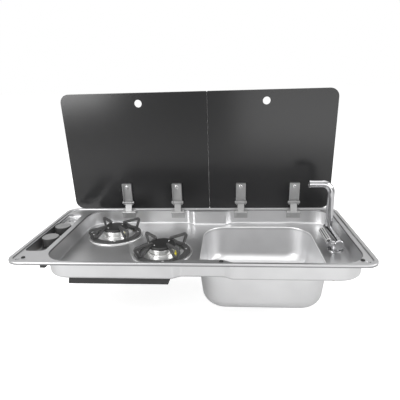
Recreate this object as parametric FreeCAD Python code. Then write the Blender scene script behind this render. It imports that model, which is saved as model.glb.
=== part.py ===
import FreeCAD, Part
import math
import os

V = FreeCAD.Vector
os.makedirs("parts", exist_ok=True)

# Lengths in millimetres. Height zero is the worktop surface, X runs along the unit, Y to its back.

# Pressed top: rolled rim, flange and recess.
RIM_LENGTH = 775.0
RIM_DEPTH = 365.0
RIM_RADIUS = 32.0
RIM_HEIGHT = 6.0
RIM_BAND = 9.8
RIM_EDGE = 2.4
SHEET = 1.0
FLANGE_TOP = 3.0
MOUTH = 2.0
RIGHT_LEDGE = 20.5
FRONT_LEDGE = 16.5
BACK_LEDGE = 12.5
RECESS_RADIUS = 55.0
RECESS_DEPTH = 41.0
FLOOR_FILLET = 4.5
WAIST_OFFSET = 11.0
WAIST_MOUTH = 125.0
WAIST_FACE = 91.0
WAIST_DEPTH = 11.0
WAIST_RADIUS = 16.0

# Knob pocket and the shelf behind it.
POCKET_EDGE = 3.7
POCKET_WIDTH = 46.0
POCKET_FRONT_SHARE = 0.320548
POCKET_DEPTH = 25.0
POCKET_RADIUS = 11.0
POCKET_FILLET = 5.0
POCKET_WALL = 15.0
SHELF_INSET = 3.0
SHELF_OVERLAP = 44.0
SHELF_BACK_SHARE = 0.367123
SHELF_DEPTH = 10.0
DIMPLE_RADIUS = 11.0
DIMPLE_DEPTH = 4.0
DIMPLE_SHARE = 0.571

# Sink opening and bowl.
SINK_LEDGE = 63.0
SINK_FRONT_LEDGE = 24.0
SINK_BACK_LEDGE = 30.0
SINK_RADIUS = 62.0
SINK_MOUTH = 2.6
NECK = 8.0
BOWL_DEPTH = 88.0
BOWL_TAPER = 10.0
BOWL_FILLET = 28.0

# Fixing holes with a pressed countersink.
HOLE_INSET_X = 21.5
HOLE_INSET_Y = 21.5
HOLE_RADIUS = 2.5
DISH_RADIUS = 4.5

# Lid bumpers and rim seal.
BUMPER_RADIUS = 5.0
BUMPER_INSET_X = 30.5
BUMPER_INSET_Y = 29.0
BUMPER_MID_OFFSET = 41.0
BUMPER_GAP = 0.4
SEAL_WIDTH = 5.0

# Lids and their hinges.
PIVOT_INSET = 5.5
PIVOT_DROP = 6.0
LID_LEAN = 4.0
LID_RISE = 15.3
LID_OFFSET = 10.6
LID_FRONT_MARGIN = 9.7
LID_LEFT_MARGIN = 22.5
LID_RIGHT_MARGIN = 18.5
LID_SPLIT = 0.9
GLASS = 5.0
LID_RADIUS = 23.0
SPLIT_RADIUS = 3.0
FINGER_RADIUS = 10.0
FINGER_INSET = 28.0
FINGER_OFFSET = 14.0
LEFT_HINGE_SHARES = (0.4023, 0.768)
RIGHT_HINGE_SHARES = (0.2645, 0.705)
STRAP_WIDTH = 27.0
STRAP_LOW = 22.0
STRAP_TOP = 86.0
STRAP_DEPTH = 8.0
STRAP_WALL = 2.0
SCREW_DROP = 10.5
SCREW_SHANK = 2.5
SCREW_HEAD = 4.5
SCREW_HEAD_HEIGHT = 2.0
NUT_RADIUS = 6.0
NUT_HEIGHT = 2.0
ARM_WIDTH = 18.5
ARM_THICK = 3.0
ARM_TOP = 35.0
ARM_BEND = 22.0
CROSS_PIN_RISE = 29.0
CROSS_PIN_RADIUS = 2.4
CROSS_HEAD = 4.2
CROSS_HEAD_LENGTH = 3.0
BARREL_RADIUS = 3.8
PIVOT_RADIUS = 2.0
RUNNING_FIT = 0.05
CHEEK_GAP = 0.5
CHEEK = 8.0
BRACKET_WIDTH = 38.0
BRACKET_PLATE = 1.3
BRACKET_DROP = 18.0
BRACKET_RISE = 8.0
PIVOT_HEAD = 3.4
PIVOT_HEAD_LENGTH = 2.0

# Burners.
REAR_PAN_LEFT_GAP = 17.0
REAR_PAN_BACK_GAP = 18.0
BURNER_PITCH = 147.0
SINK_PAN_GAP = 21.0
PAN_RADIUS = 74.0
PAN_SHEET = 1.0
PAN_RISE = 3.0
PAN_EDGE = 4.0
PAN_SLOPE = 4.0
CROWN_INSET = 3.0
CROWN_HEIGHT = 17.5
CROWN_FOOT_INSET = 0.5
CROWN_FOOT_HEIGHT = 3.0
CROWN_GROOVE = 2.5
CROWN_GROOVE_DEPTH = 3.0
CROWN_SLOT = 1.8
CROWN_SLOT_DEPTH = 3.0
CROWN_SLOT_HEIGHT = 6.0
CROWN_SLOTS = 28
NECK_RADIUS = 18.0
NECK_DROP = 20.0
NECK_FIT = 0.5
VENTURI_RADIUS = 7.0
CAP_RADIUS = 34.0
CAP_EDGE = 4.0
CAP_DOME = 3.0
SUPPORT_EDGE = 4.0
SUPPORT_GAP = 14.0
SUPPORT_SHEET = 2.0
EAR_HEIGHT = 31.0
EAR_BAR = 5.0
EAR_THICK = 5.0
EAR_LAP = 9.0
EAR_OVERHANG = 10.0
EAR_FOOT_STEP = 6.0
EAR_TOE_STEP = 3.0
EAR_RADIUS = 8.0
EAR_TIP = 2.6
EARS = 4
EAR_TURN = 42.0
SUPPORT_SCREW_TURN = 12.0
SUPPORT_SCREW_RADIUS = 2.6
SUPPORT_SCREW_HEIGHT = 1.4
PROBE_GAP = 2.0
PROBE_RADIUS = 2.0
PROBE_COLLAR = 3.6
PROBE_COLLAR_HEIGHT = 5.0
PROBE_HEIGHT = 19.0
PROBE_TURN = -22.0
IGNITER_TURN = 160.0
IGNITER_TIP = 1.0
IGNITER_TIP_HEIGHT = 3.0

# Under parts: burner box, ignition box, gas rail, valves and pipes.
BOX_LEFT_REACH = 40.0
BOX_RIGHT_REACH = 40.0
BOX_BACK_REACH = 50.0
BOX_FRONT_GAP = 18.0
BOX_DEPTH = 22.0
BOX_SLANT = 9.0
BOX_LIP = 4.0
IGNITION_WIDTH = 13.0
IGNITION_SIDE = 6.0
IGNITION_LENGTH = 47.0
IGNITION_HEIGHT = 19.0
IGNITION_INSET = 4.0
IGNITION_EDGE = 2.0
TAB_REACH = 14.0
TAB_DEPTH = 14.0
TAB_RISE = 8.0
TAB_DROP = 12.0
VALVE_GAP = 21.0
VALVE_SIZE = 22.0
VALVE_HEIGHT = 30.0
RAIL_WIDTH = 14.0
RAIL_HEIGHT = 10.0
RAIL_FRONT_REACH = 10.0
RAIL_BACK_REACH = 11.0
INLET_RADIUS = 4.0
INLET_LENGTH = 50.0
PIPE_RADIUS = 3.0
PIPE_DROP = 9.0
PIPE_BEND = 14.0
PIPE_JOG = 22.0
PIPE_BOX_GAP = 12.0

# Knobs and stems.
KNOB_PITCH = 74.0
KNOB_GAP = 2.0
KNOB_BACK_GAP = 5.0
KNOB_FLOOR_GAP = 2.0
KNOB_TAPER = 1.0
KNOB_HEIGHT = 20.5
KNOB_EDGE = 1.2
PUSH_TRAVEL = 3.0
STEM_RADIUS = 4.0
STEM_DROP = 8.0
STEM_FLOOR_GAP = 0.8

# Tap.
TAP_INSET = 25.0
TAP_OFFSET = 11.0
TAP_AXIS_RISE = 24.0
TAP_COLUMN = 12.0
TAP_ROSETTE = 19.0
TAP_ROSETTE_HEIGHT = 3.0
TAP_BARREL = 12.0
TAP_NOSE = 30.0
BARREL_LENGTH = 92.0
COLLAR_LENGTH = 25.0
COLLAR_GAP = 0.3
COLLAR_FLAT = 1.5
SPIGOT_RADIUS = 7.0
SPIGOT_LENGTH = 10.0
SPOUT_RADIUS = 9.0
SPOUT_WALL = 1.2
SPOUT_RISE = 130.0
SPOUT_BEND = 24.0
SPOUT_REACH = 51.0
OUTLET_LENGTH = 4.0
OUTLET_RADIUS = 9.8
GRIP_RISE = 3.0
GRIP_RADIUS = 7.5
GRIP_STEP = 15.0
GRIP_LENGTH = 76.0
GRIP_RIB = 1.1
GRIP_RIBS = 12
STUB_RADIUS = 6.5
STUB_PIN = 3.0
STUB_DEPTH = 12.0
SHANK_RADIUS = 10.0
SHANK_LENGTH = 40.0
TAP_NUT_RADIUS = 17.0
TAP_NUT_HEIGHT = 9.0
TAIL_RADIUS = 4.0
TAIL_SPREAD = 5.0
TAIL_LENGTH = 40.0

# Waste.
WASTE_RADIUS = 35.0
WASTE_NECK = 22.0
WASTE_WALL = 2.0
WASTE_RIM = 1.6
WASTE_DIP = 7.0
WASTE_GRID_RADIUS = 2.2
WASTE_GRID_REACH = 12.0
WASTE_GRID_COUNT = 6
WASTE_NECK_DROP = 17.0
GASKET = 3.0
TAIL_CUP = 31.0
TAIL_CUP_DROP = 12.0
WASTE_TAIL_RADIUS = 12.5
WASTE_TAIL_WALL = 2.0
WASTE_TAIL_LENGTH = 36.0

# Cut overrun, matching tolerance and shares of a size.
OVER = 5.0
NEAR = 0.001
CORNER_SHARE = 0.25
BORE_SHARE = 0.67

# Places that follow from the sizes: pocket, recess, knobs, burners and sink.
RIM_X = RIM_LENGTH / 2
RIM_Y = RIM_DEPTH / 2
FLOOR = FLANGE_TOP - RECESS_DEPTH
RECESS_RIGHT = RIM_X - RIGHT_LEDGE
RECESS_FRONT = FRONT_LEDGE - RIM_Y
RECESS_BACK = RIM_Y - BACK_LEDGE
POCKET_LEFT = RIM_BAND + POCKET_EDGE - RIM_X
POCKET_RIGHT = POCKET_LEFT + POCKET_WIDTH
POCKET_FRONT = -RIM_DEPTH * POCKET_FRONT_SHARE
POCKET_FLOOR = FLANGE_TOP - POCKET_DEPTH
RECESS_LEFT = POCKET_RIGHT + POCKET_WALL
IGNITION_RIGHT = POCKET_RIGHT - IGNITION_SIDE
IGNITION_LEFT = IGNITION_RIGHT - IGNITION_WIDTH
IGNITION_FRONT = POCKET_FRONT + IGNITION_INSET
IGNITION_BACK = IGNITION_FRONT + IGNITION_LENGTH
IGNITION_BOTTOM = POCKET_FLOOR - SHEET - IGNITION_HEIGHT
TAB_RIGHT = IGNITION_RIGHT + TAB_REACH
TAB_TOP = IGNITION_BOTTOM + TAB_RISE
TAB_BOTTOM = TAB_TOP - TAB_DROP
KNOB_X = (POCKET_LEFT + POCKET_RIGHT) / 2
FRONT_KNOB_Y = IGNITION_BACK + VALVE_GAP + VALVE_SIZE / 2
REAR_KNOB_Y = FRONT_KNOB_Y + KNOB_PITCH
KNOB_RADIUS = POCKET_WIDTH / 2 - KNOB_GAP
KNOB_TOP_RADIUS = KNOB_RADIUS - KNOB_TAPER
KNOB_BOTTOM = POCKET_FLOOR + PUSH_TRAVEL + KNOB_FLOOR_GAP
KNOB_TOP = KNOB_BOTTOM + KNOB_HEIGHT
STEM_TOP = KNOB_TOP - STEM_DROP
POCKET_BACK = REAR_KNOB_Y + KNOB_RADIUS + KNOB_BACK_GAP
SHELF_FRONT = POCKET_BACK - SHELF_OVERLAP
SHELF_BACK = RIM_DEPTH * SHELF_BACK_SHARE
SHELF_FLOOR = FLANGE_TOP - SHELF_DEPTH
DIMPLE_Y = POCKET_BACK + (SHELF_BACK - POCKET_BACK) * DIMPLE_SHARE
REAR_BURNER_X = RECESS_LEFT + REAR_PAN_LEFT_GAP + PAN_RADIUS
REAR_BURNER_Y = RECESS_BACK - REAR_PAN_BACK_GAP - PAN_RADIUS
FRONT_BURNER_X = REAR_BURNER_X + BURNER_PITCH
FRONT_BURNER_Y = FRONT_KNOB_Y
SINK_LEFT = FRONT_BURNER_X + PAN_RADIUS + SINK_PAN_GAP
SINK_RIGHT = RECESS_RIGHT - SINK_LEDGE
SINK_FRONT = RECESS_FRONT + SINK_FRONT_LEDGE
SINK_BACK = RECESS_BACK - SINK_BACK_LEDGE
BOWL_FLOOR = FLOOR - NECK - BOWL_DEPTH
WASTE_TAIL_BOTTOM = BOWL_FLOOR - WASTE_TAIL_LENGTH
WAIST_X = SINK_LEFT + WAIST_OFFSET
HOLE_SPAN_X = RIM_LENGTH - 2 * HOLE_INSET_X
HOLE_SPAN_Y = RIM_DEPTH - 2 * HOLE_INSET_Y

# Places of the lids and their hinges.
PIVOT_Y = RECESS_BACK - PIVOT_INSET
PIVOT_Z = FLANGE_TOP - PIVOT_DROP
LID_HEIGHT = PIVOT_Y + RIM_Y - LID_FRONT_MARGIN - LID_RISE
LEFT_LID_START = LID_LEFT_MARGIN - RIM_X
LEFT_LID_END = WAIST_X - LID_SPLIT / 2
RIGHT_LID_START = WAIST_X + LID_SPLIT / 2
RIGHT_LID_END = RIM_X - LID_RIGHT_MARGIN
LEFT_FINGER_X = (LEFT_LID_START + LEFT_LID_END) / 2 + FINGER_OFFSET
RIGHT_FINGER_X = (RIGHT_LID_START + RIGHT_LID_END) / 2 - FINGER_OFFSET

# Sizes and places of the burner pieces and what is below them.
CROWN_RADIUS = CAP_RADIUS - CROWN_INSET
SUPPORT_OUTER = PAN_RADIUS - SUPPORT_EDGE
SUPPORT_INNER = CAP_RADIUS + SUPPORT_GAP
EAR_TOP = FLOOR + PAN_RISE + EAR_HEIGHT
EAR_IN = CAP_RADIUS - EAR_LAP
EAR_OUT = SUPPORT_OUTER + EAR_OVERHANG
EAR_FOOT_IN = SUPPORT_INNER + EAR_FOOT_STEP
EAR_FOOT_OUT = SUPPORT_OUTER - EAR_TOE_STEP
PROBE_REACH = CAP_RADIUS + PROBE_GAP + PROBE_RADIUS
BOX_LEFT = REAR_BURNER_X - BOX_LEFT_REACH
BOX_RIGHT = FRONT_BURNER_X + BOX_RIGHT_REACH
BOX_FRONT = RECESS_FRONT + BOX_FRONT_GAP
BOX_BACK = REAR_BURNER_Y + BOX_BACK_REACH
BOX_BOTTOM = FLOOR - SHEET - BOX_DEPTH
RAIL_FRONT = FRONT_KNOB_Y - VALVE_SIZE / 2 - RAIL_FRONT_REACH
RAIL_BACK = REAR_KNOB_Y + VALVE_SIZE / 2 + RAIL_BACK_REACH
INLET_BACK = RAIL_BACK + INLET_LENGTH
PIPE_Z = FLOOR - PIPE_DROP
PIPE_RISE_X = BOX_LEFT - BOX_LIP - PIPE_BOX_GAP
PIPE_TURN_X = PIPE_RISE_X - PIPE_JOG

# Places of the tap.
TAP_X = RECESS_RIGHT - TAP_INSET
TAP_Y = (SINK_FRONT + SINK_BACK) / 2 - TAP_OFFSET
TAP_AXIS_Z = FLOOR + TAP_AXIS_RISE
TAP_FRONT = TAP_Y - TAP_NOSE
COLLAR_START = TAP_FRONT + BARREL_LENGTH
COLLAR_END = COLLAR_START + COLLAR_LENGTH
GRIP_X = TAP_X - TAP_BARREL - GRIP_RADIUS - COLLAR_GAP
GRIP_Z = TAP_AXIS_Z + GRIP_RISE
GRIP_START = TAP_FRONT + GRIP_STEP
GRIP_END = GRIP_START + GRIP_LENGTH
SHANK_BOTTOM = FLOOR - SHANK_LENGTH
TAIL_BOTTOM = SHANK_BOTTOM - TAIL_LENGTH

UP = V(0, 0, 1)
ALONG = V(1, 0, 0)
BACK = V(0, 1, 0)


def rounded(points, radii):
    """Closed wire through the corner points, each corner rounded to its radius."""
    starts = []
    ends = []
    edges = []
    count = len(points)
    for i in range(count):
        p = points[i]
        a = points[i - 1].sub(p).normalize()
        b = points[(i + 1) % count].sub(p).normalize()
        half = math.acos(max(-1, min(1, a.dot(b)))) / 2
        reach = radii[i] / math.tan(half)
        starts.append(p + a * reach)
        ends.append(p + b * reach)
        if radii[i] > 0:
            bisector = (a + b).normalize()
            middle = p + bisector * (radii[i] / math.sin(half) - radii[i])
            edges.append(Part.Arc(starts[i], middle, ends[i]).toShape())
        else:
            edges.append(None)
    ring = []
    for i in range(count):
        if edges[i]:
            ring.append(edges[i])
        gap = starts[(i + 1) % count] - ends[i]
        if gap.Length > NEAR:
            ring.append(Part.makeLine(ends[i], starts[(i + 1) % count]))
    return Part.Wire(ring)


def flat(corners, radius, z, grow=0):
    """Face of a polygon at height z with one radius on all corners, grown outwards by an offset."""
    points = [V(x, y, z) for x, y in corners]
    return grown(Part.Face(rounded(points, [radius] * len(points))), grow)


def grown(face, grow):
    """The same face with its outline moved outwards."""
    if grow == 0:
        return face
    return Part.Face(face.makeOffset2D(grow).OuterWire)


def box_corners(x0, x1, y0, y1):
    """Corner list of a rectangle, running anticlockwise."""
    return [(x0, y0), (x1, y0), (x1, y1), (x0, y1)]


def raised(face, height):
    """Prism over a flat face."""
    return face.extrude(UP * height)


def level_edges(solid, z):
    """Edges lying flat at one height."""
    found = []
    for edge in solid.Edges:
        low = abs(edge.BoundBox.ZMin - z) < NEAR
        high = abs(edge.BoundBox.ZMax - z) < NEAR
        if low and high:
            found.append(edge)
    return found


def edges_on(solid, face, z):
    """Flat edges of a solid at one height that follow the outline of a face."""
    rail = face.OuterWire.copy()
    rail.translate(UP * (z - rail.BoundBox.ZMin))
    found = []
    for edge in level_edges(solid, z):
        middle = edge.valueAt((edge.FirstParameter + edge.LastParameter) / 2)
        if Part.Vertex(middle).distToShape(rail)[0] < NEAR:
            found.append(edge)
    return found


def pillar(x, y, low, high, radius):
    """Upright cylinder."""
    return Part.makeCylinder(radius, high - low, V(x, y, low), UP)


def rod(start, end, radius):
    """Round bar between two points."""
    return Part.makeCylinder(radius, (end - start).Length, start, end - start)


def turned(profile, x, y):
    """Solid turned about an upright axis from radius and height pairs."""
    points = [V(x + r, y, z) for r, z in profile]
    face = Part.Face(Part.makePolygon(points + points[:1]))
    return face.revolve(V(x, y, 0), UP, 360)


def piped(points, bend, radius, bore):
    """Round tube along a path with rounded bends, hollow when a bore is given."""
    edges = []
    last = points[0]
    for i in range(1, len(points) - 1):
        a = (points[i - 1] - points[i]).normalize()
        b = (points[i + 1] - points[i]).normalize()
        half = math.acos(a.dot(b)) / 2
        reach = bend / math.tan(half)
        into = points[i] + a * reach
        out = points[i] + b * reach
        middle = points[i] + (a + b).normalize() * (bend / math.sin(half) - bend)
        edges.append(Part.makeLine(last, into))
        edges.append(Part.Arc(into, middle, out).toShape())
        last = out
    edges.append(Part.makeLine(last, points[-1]))
    path = Part.Wire(edges)
    heading = points[1] - points[0]
    outside = Part.Wire(Part.makeCircle(radius, points[0], heading))
    tube = path.makePipeShell([outside], True, True)
    if bore > 0:
        inside = Part.Wire(Part.makeCircle(bore, points[0], heading))
        tube = tube.cut(path.makePipeShell([inside], True, True))
    return tube


def spread(x, y, reach, angle):
    """Point at a distance and angle round a centre."""
    turn = math.radians(angle)
    return x + reach * math.cos(turn), y + reach * math.sin(turn)


def save(shape, node):
    """Write one node as its own file."""
    shape.removeSplitter().exportStep("parts/" + node + ".step")


def recess_face(z, grow=0):
    """Plan outline of the recess with the waist pressed in at front and back."""
    mouth = WAIST_MOUTH / 2
    inner = WAIST_FACE / 2
    front = [(RECESS_LEFT, RECESS_FRONT), (WAIST_X - mouth, RECESS_FRONT)]
    front += [(WAIST_X - inner, RECESS_FRONT + WAIST_DEPTH), (WAIST_X + inner, RECESS_FRONT + WAIST_DEPTH)]
    front += [(WAIST_X + mouth, RECESS_FRONT), (RECESS_RIGHT, RECESS_FRONT)]
    middle = (RECESS_FRONT + RECESS_BACK) / 2
    corners = front + [(x, 2 * middle - y) for x, y in reversed(front)]
    half = [RECESS_RADIUS] + [WAIST_RADIUS] * 4 + [RECESS_RADIUS]
    points = [V(x, y, z) for x, y in corners]
    return grown(Part.Face(rounded(points, half + half)), grow)


def sink_face(z, grow=0, inset=0):
    """Plan outline of the sink, drawn in by an inset towards its bottom."""
    corners = box_corners(SINK_LEFT + inset, SINK_RIGHT - inset, SINK_FRONT + inset, SINK_BACK - inset)
    return flat(corners, SINK_RADIUS - inset, z, grow)


def pocket_face(z, grow=0):
    """Plan outline of the deep knob pocket."""
    return flat(box_corners(POCKET_LEFT, POCKET_RIGHT, POCKET_FRONT, POCKET_BACK), POCKET_RADIUS, z, grow)


def shelf_face(z, grow=0):
    """Plan outline of the shallow shelf that runs on behind the knobs."""
    corners = box_corners(POCKET_LEFT + SHELF_INSET, POCKET_RIGHT - SHELF_INSET, SHELF_FRONT, SHELF_BACK)
    return flat(corners, POCKET_RADIUS, z, grow)


def rim_face(z, inset):
    """Plan outline of the rim, drawn in by an inset."""
    x = RIM_X - inset
    y = RIM_Y - inset
    return flat(box_corners(-x, x, -y, y), RIM_RADIUS - inset, z)


def hollow(face_at, low, high, fillet, grow):
    """Prism of an outline between two heights with its bottom edge rounded."""
    block = raised(face_at(low, grow), high - low)
    return block.makeFillet(fillet, level_edges(block, low))


def opened(block, face_at, mouth):
    """Add room above the flange to a cavity and round its mouth."""
    above = raised(face_at(FLANGE_TOP, mouth * (1 + CORNER_SHARE)), OVER)
    joined = block.fuse(above).removeSplitter()
    return joined.makeFillet(mouth, edges_on(joined, face_at(FLANGE_TOP), FLANGE_TOP))


def waist_middle(side):
    """Middle of the flange strip at the waist, on the front or the back side."""
    wall = RECESS_BACK if side > 0 else RECESS_FRONT
    return (wall - side * WAIST_DEPTH + side * (RIM_Y - RIM_BAND)) / 2


def fixing_points():
    """Centres of the four fixing holes in the corners of the flange."""
    points = []
    for side in (-1, 1):
        for end in (-1, 1):
            points.append((end * HOLE_SPAN_X / 2, side * HOLE_SPAN_Y / 2))
    return points


def rim_sheet():
    """Flange plate with the rolled rim standing round it, hollow below."""
    slab = raised(rim_face(0, 0), RIM_HEIGHT)
    slab = slab.cut(raised(rim_face(FLANGE_TOP, RIM_BAND), RIM_HEIGHT))
    slab = slab.makeFillet(RIM_EDGE, level_edges(slab, RIM_HEIGHT))
    under = raised(rim_face(-OVER, SHEET), OVER + FLANGE_TOP - SHEET)
    hollow_top = RIM_HEIGHT - SHEET
    ring = raised(rim_face(-OVER, SHEET), OVER + hollow_top)
    ring = ring.cut(raised(rim_face(-OVER - OVER, RIM_BAND - SHEET), OVER * 4))
    return slab.cut(under).cut(ring)


def worktop_tray():
    """Whole pressed top: rim, flange, recess, knob pocket, shelf and sink neck in one sheet."""
    under_flange = FLANGE_TOP - SHEET / 2
    skin = hollow(recess_face, FLOOR - SHEET, under_flange, FLOOR_FILLET + SHEET, SHEET)
    neck = raised(sink_face(FLOOR - NECK, SHEET), NECK)
    skin = skin.fuse(neck).removeSplitter()
    joint = edges_on(skin, sink_face(FLOOR, SHEET), FLOOR - SHEET)
    skin = skin.makeFillet(SINK_MOUTH - SHEET, joint)
    pocket = hollow(pocket_face, POCKET_FLOOR - SHEET, under_flange, POCKET_FILLET + SHEET, SHEET)
    shelf = hollow(shelf_face, SHELF_FLOOR - SHEET, under_flange, POCKET_FILLET, SHEET)
    dimple_x = (POCKET_LEFT + POCKET_RIGHT) / 2
    dimple_low = SHELF_FLOOR - DIMPLE_DEPTH
    dimple = pillar(dimple_x, DIMPLE_Y, dimple_low - SHEET, SHELF_FLOOR, DIMPLE_RADIUS + SHEET)
    tray = rim_sheet().fuse([skin, pocket, shelf, dimple])
    room = hollow(recess_face, FLOOR, FLANGE_TOP, FLOOR_FILLET, 0)
    room = opened(room, recess_face, MOUTH)
    drop = raised(sink_face(FLOOR - NECK - OVER), NECK + OVER + SHEET)
    room = room.fuse(drop).removeSplitter()
    room = room.makeFillet(SINK_MOUTH, edges_on(room, sink_face(FLOOR), FLOOR))
    deep = hollow(pocket_face, POCKET_FLOOR, FLANGE_TOP, POCKET_FILLET, 0)
    shallow = hollow(shelf_face, SHELF_FLOOR, FLANGE_TOP, POCKET_FILLET - SHEET, 0)
    tray = tray.cut(room)
    tray = tray.cut(opened(deep, pocket_face, MOUTH))
    tray = tray.cut(opened(shallow, shelf_face, MOUTH))
    tray = tray.cut(pillar(dimple_x, DIMPLE_Y, dimple_low, SHELF_FLOOR + SHEET, DIMPLE_RADIUS))
    for x, y in fixing_points():
        tray = tray.fuse(turned(dish_profile(SHEET, FLANGE_TOP - SHEET / 2), x, y))
        tray = tray.cut(turned(dish_profile(0, FLANGE_TOP + SHEET), x, y))
    for x, y in burner_centres():
        tray = tray.cut(pillar(x, y, FLOOR - OVER, FLOOR + OVER / 2, NECK_RADIUS + NECK_FIT))
    for y in (FRONT_KNOB_Y, REAR_KNOB_Y):
        stem_hole = STEM_RADIUS + STEM_FLOOR_GAP
        tray = tray.cut(pillar(KNOB_X, y, POCKET_FLOOR - OVER, POCKET_FLOOR + OVER, stem_hole))
    return tray.cut(pillar(TAP_X, TAP_Y, FLOOR - OVER, FLOOR + OVER, SHANK_RADIUS + STEM_FLOOR_GAP))


def dish_profile(wall, top):
    """Radius and height pairs of a countersink, solid with a wall or as the cut itself."""
    if wall > 0:
        wide = DISH_RADIUS + wall
        return [(0, 0), (HOLE_RADIUS + wall, 0), (wide, FLANGE_TOP - wall), (wide, top), (0, top)]
    low = wall - OVER
    lip = SHEET / 2
    shaft = [(0, low), (HOLE_RADIUS, low), (HOLE_RADIUS, lip)]
    return shaft + [(DISH_RADIUS, FLANGE_TOP), (DISH_RADIUS, top), (0, top)]


def burner_centres():
    """Plan positions of the two burners."""
    return [(REAR_BURNER_X, REAR_BURNER_Y), (FRONT_BURNER_X, FRONT_BURNER_Y)]


def bowl_block(grow):
    """Tapered sink block with a rounded bottom, grown for the outside of the sheet."""
    top = sink_face(FLOOR - NECK, grow).OuterWire
    bottom = sink_face(BOWL_FLOOR - grow, grow, BOWL_TAPER).OuterWire
    block = Part.makeLoft([top, bottom], True, True)
    return block.makeFillet(BOWL_FILLET + grow, level_edges(block, BOWL_FLOOR - grow))


def sink_bowl():
    """Deep drawn bowl, butt welded to the neck of the top."""
    x, y = waste_centre()
    bowl = bowl_block(SHEET).cut(bowl_block(0))
    return bowl.cut(pillar(x, y, BOWL_FLOOR - OVER, BOWL_FLOOR + OVER, WASTE_NECK + NECK_FIT))


def waste_centre():
    """Middle of the sink in plan."""
    return (SINK_LEFT + SINK_RIGHT) / 2, (SINK_FRONT + SINK_BACK) / 2


def rim_seal():
    """Rubber strip that fills the hollow rim and seals on the worktop."""
    inset = (RIM_BAND - SEAL_WIDTH) / 2
    strip = raised(rim_face(0, inset), RIM_HEIGHT - SHEET)
    return strip.cut(raised(rim_face(-OVER, inset + SEAL_WIDTH), OVER * 3))


def lid_bumpers():
    """Rubber buttons on the front flange that the closed lids rest on."""
    top = PIVOT_Z + LID_OFFSET - BUMPER_GAP
    x = RIM_X - BUMPER_INSET_X
    y = BUMPER_INSET_Y - RIM_Y
    places = [(-x, y), (x, y), (WAIST_X + BUMPER_MID_OFFSET, waist_middle(-1))]
    buttons = []
    for px, py in places:
        button = pillar(px, py, FLANGE_TOP, top, BUMPER_RADIUS)
        buttons.append(button.makeFillet((top - FLANGE_TOP) / 2, level_edges(button, top)))
    return Part.makeCompound(buttons)


def leaned(shape):
    """Turn a lid piece from upright to its open lean about the pivot line."""
    shape.rotate(V(0, PIVOT_Y, PIVOT_Z), ALONG, LID_LEAN)
    return shape


def upright(points, x, width):
    """Prism along X, centred on a place, from pairs measured back and up from the pivot."""
    corners = [V(x - width / 2, PIVOT_Y + back, PIVOT_Z + up) for back, up in points]
    return Part.Face(Part.makePolygon(corners + corners[:1])).extrude(ALONG * width)


def lid_glass(start, end, finger, hinges):
    """Glass lid from its outer end to the split, with a finger hole and a hole for each strap screw."""
    face = PIVOT_Y + LID_OFFSET
    low = PIVOT_Z + LID_RISE
    high = low + LID_HEIGHT
    points = [V(start, face, low), V(end, face, low), V(end, face, high), V(start, face, high)]
    radii = [LID_RADIUS, SPLIT_RADIUS, SPLIT_RADIUS, LID_RADIUS]
    pane = Part.Face(rounded(points, radii)).extrude(BACK * GLASS)
    through = BACK * (GLASS + OVER * 2)
    hole = V(finger, face - OVER, high - FINGER_INSET)
    pane = pane.cut(rod(hole, hole + through, FINGER_RADIUS))
    for x in hinges:
        start = V(x, face - OVER, PIVOT_Z + STRAP_TOP - SCREW_DROP)
        pane = pane.cut(rod(start, start + through, SCREW_SHANK))
    return leaned(pane)


def hinge_places(start, end, shares):
    """Places of the hinges along a lid."""
    return [start + (end - start) * share for share in shares]


def hinge_strap(x):
    """Channel with its web on the inner face of the glass and its flanges to the front."""
    front = LID_OFFSET - STRAP_DEPTH
    web = LID_OFFSET - STRAP_WALL
    body = [(front, STRAP_LOW), (LID_OFFSET, STRAP_LOW), (LID_OFFSET, STRAP_TOP), (front, STRAP_TOP)]
    top = STRAP_TOP - STRAP_WALL
    low = STRAP_LOW - OVER
    room = [(front - OVER, low), (web, low), (web, top), (front - OVER, top)]
    strap = upright(body, x, STRAP_WIDTH).cut(upright(room, x, STRAP_WIDTH - 2 * STRAP_WALL))
    z = PIVOT_Z + STRAP_TOP - SCREW_DROP
    screw = rod(V(x, PIVOT_Y - OVER, z), V(x, PIVOT_Y + LID_OFFSET + OVER, z), SCREW_SHANK)
    reach = STRAP_WIDTH
    pin_z = PIVOT_Z + CROSS_PIN_RISE
    pin_y = PIVOT_Y + arm_back()
    pin = rod(V(x - reach, pin_y, pin_z), V(x + reach, pin_y, pin_z), CROSS_PIN_RADIUS)
    return leaned(strap.cut([screw, pin]))


def arm_back():
    """Distance of the upper arm behind the pivot line."""
    return LID_OFFSET - STRAP_DEPTH + STRAP_WALL + ARM_THICK / 2


def hinge_screw(x):
    """Strap screw with its round nut behind the glass."""
    z = PIVOT_Z + STRAP_TOP - SCREW_DROP
    front = PIVOT_Y + LID_OFFSET - STRAP_WALL
    rear = PIVOT_Y + LID_OFFSET + GLASS
    head = rod(V(x, front - SCREW_HEAD_HEIGHT, z), V(x, front, z), SCREW_HEAD)
    shank = rod(V(x, front, z), V(x, rear, z), SCREW_SHANK)
    nut = rod(V(x, rear, z), V(x, rear + NUT_HEIGHT, z), NUT_RADIUS)
    return leaned(head.fuse([shank, nut]))


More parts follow.
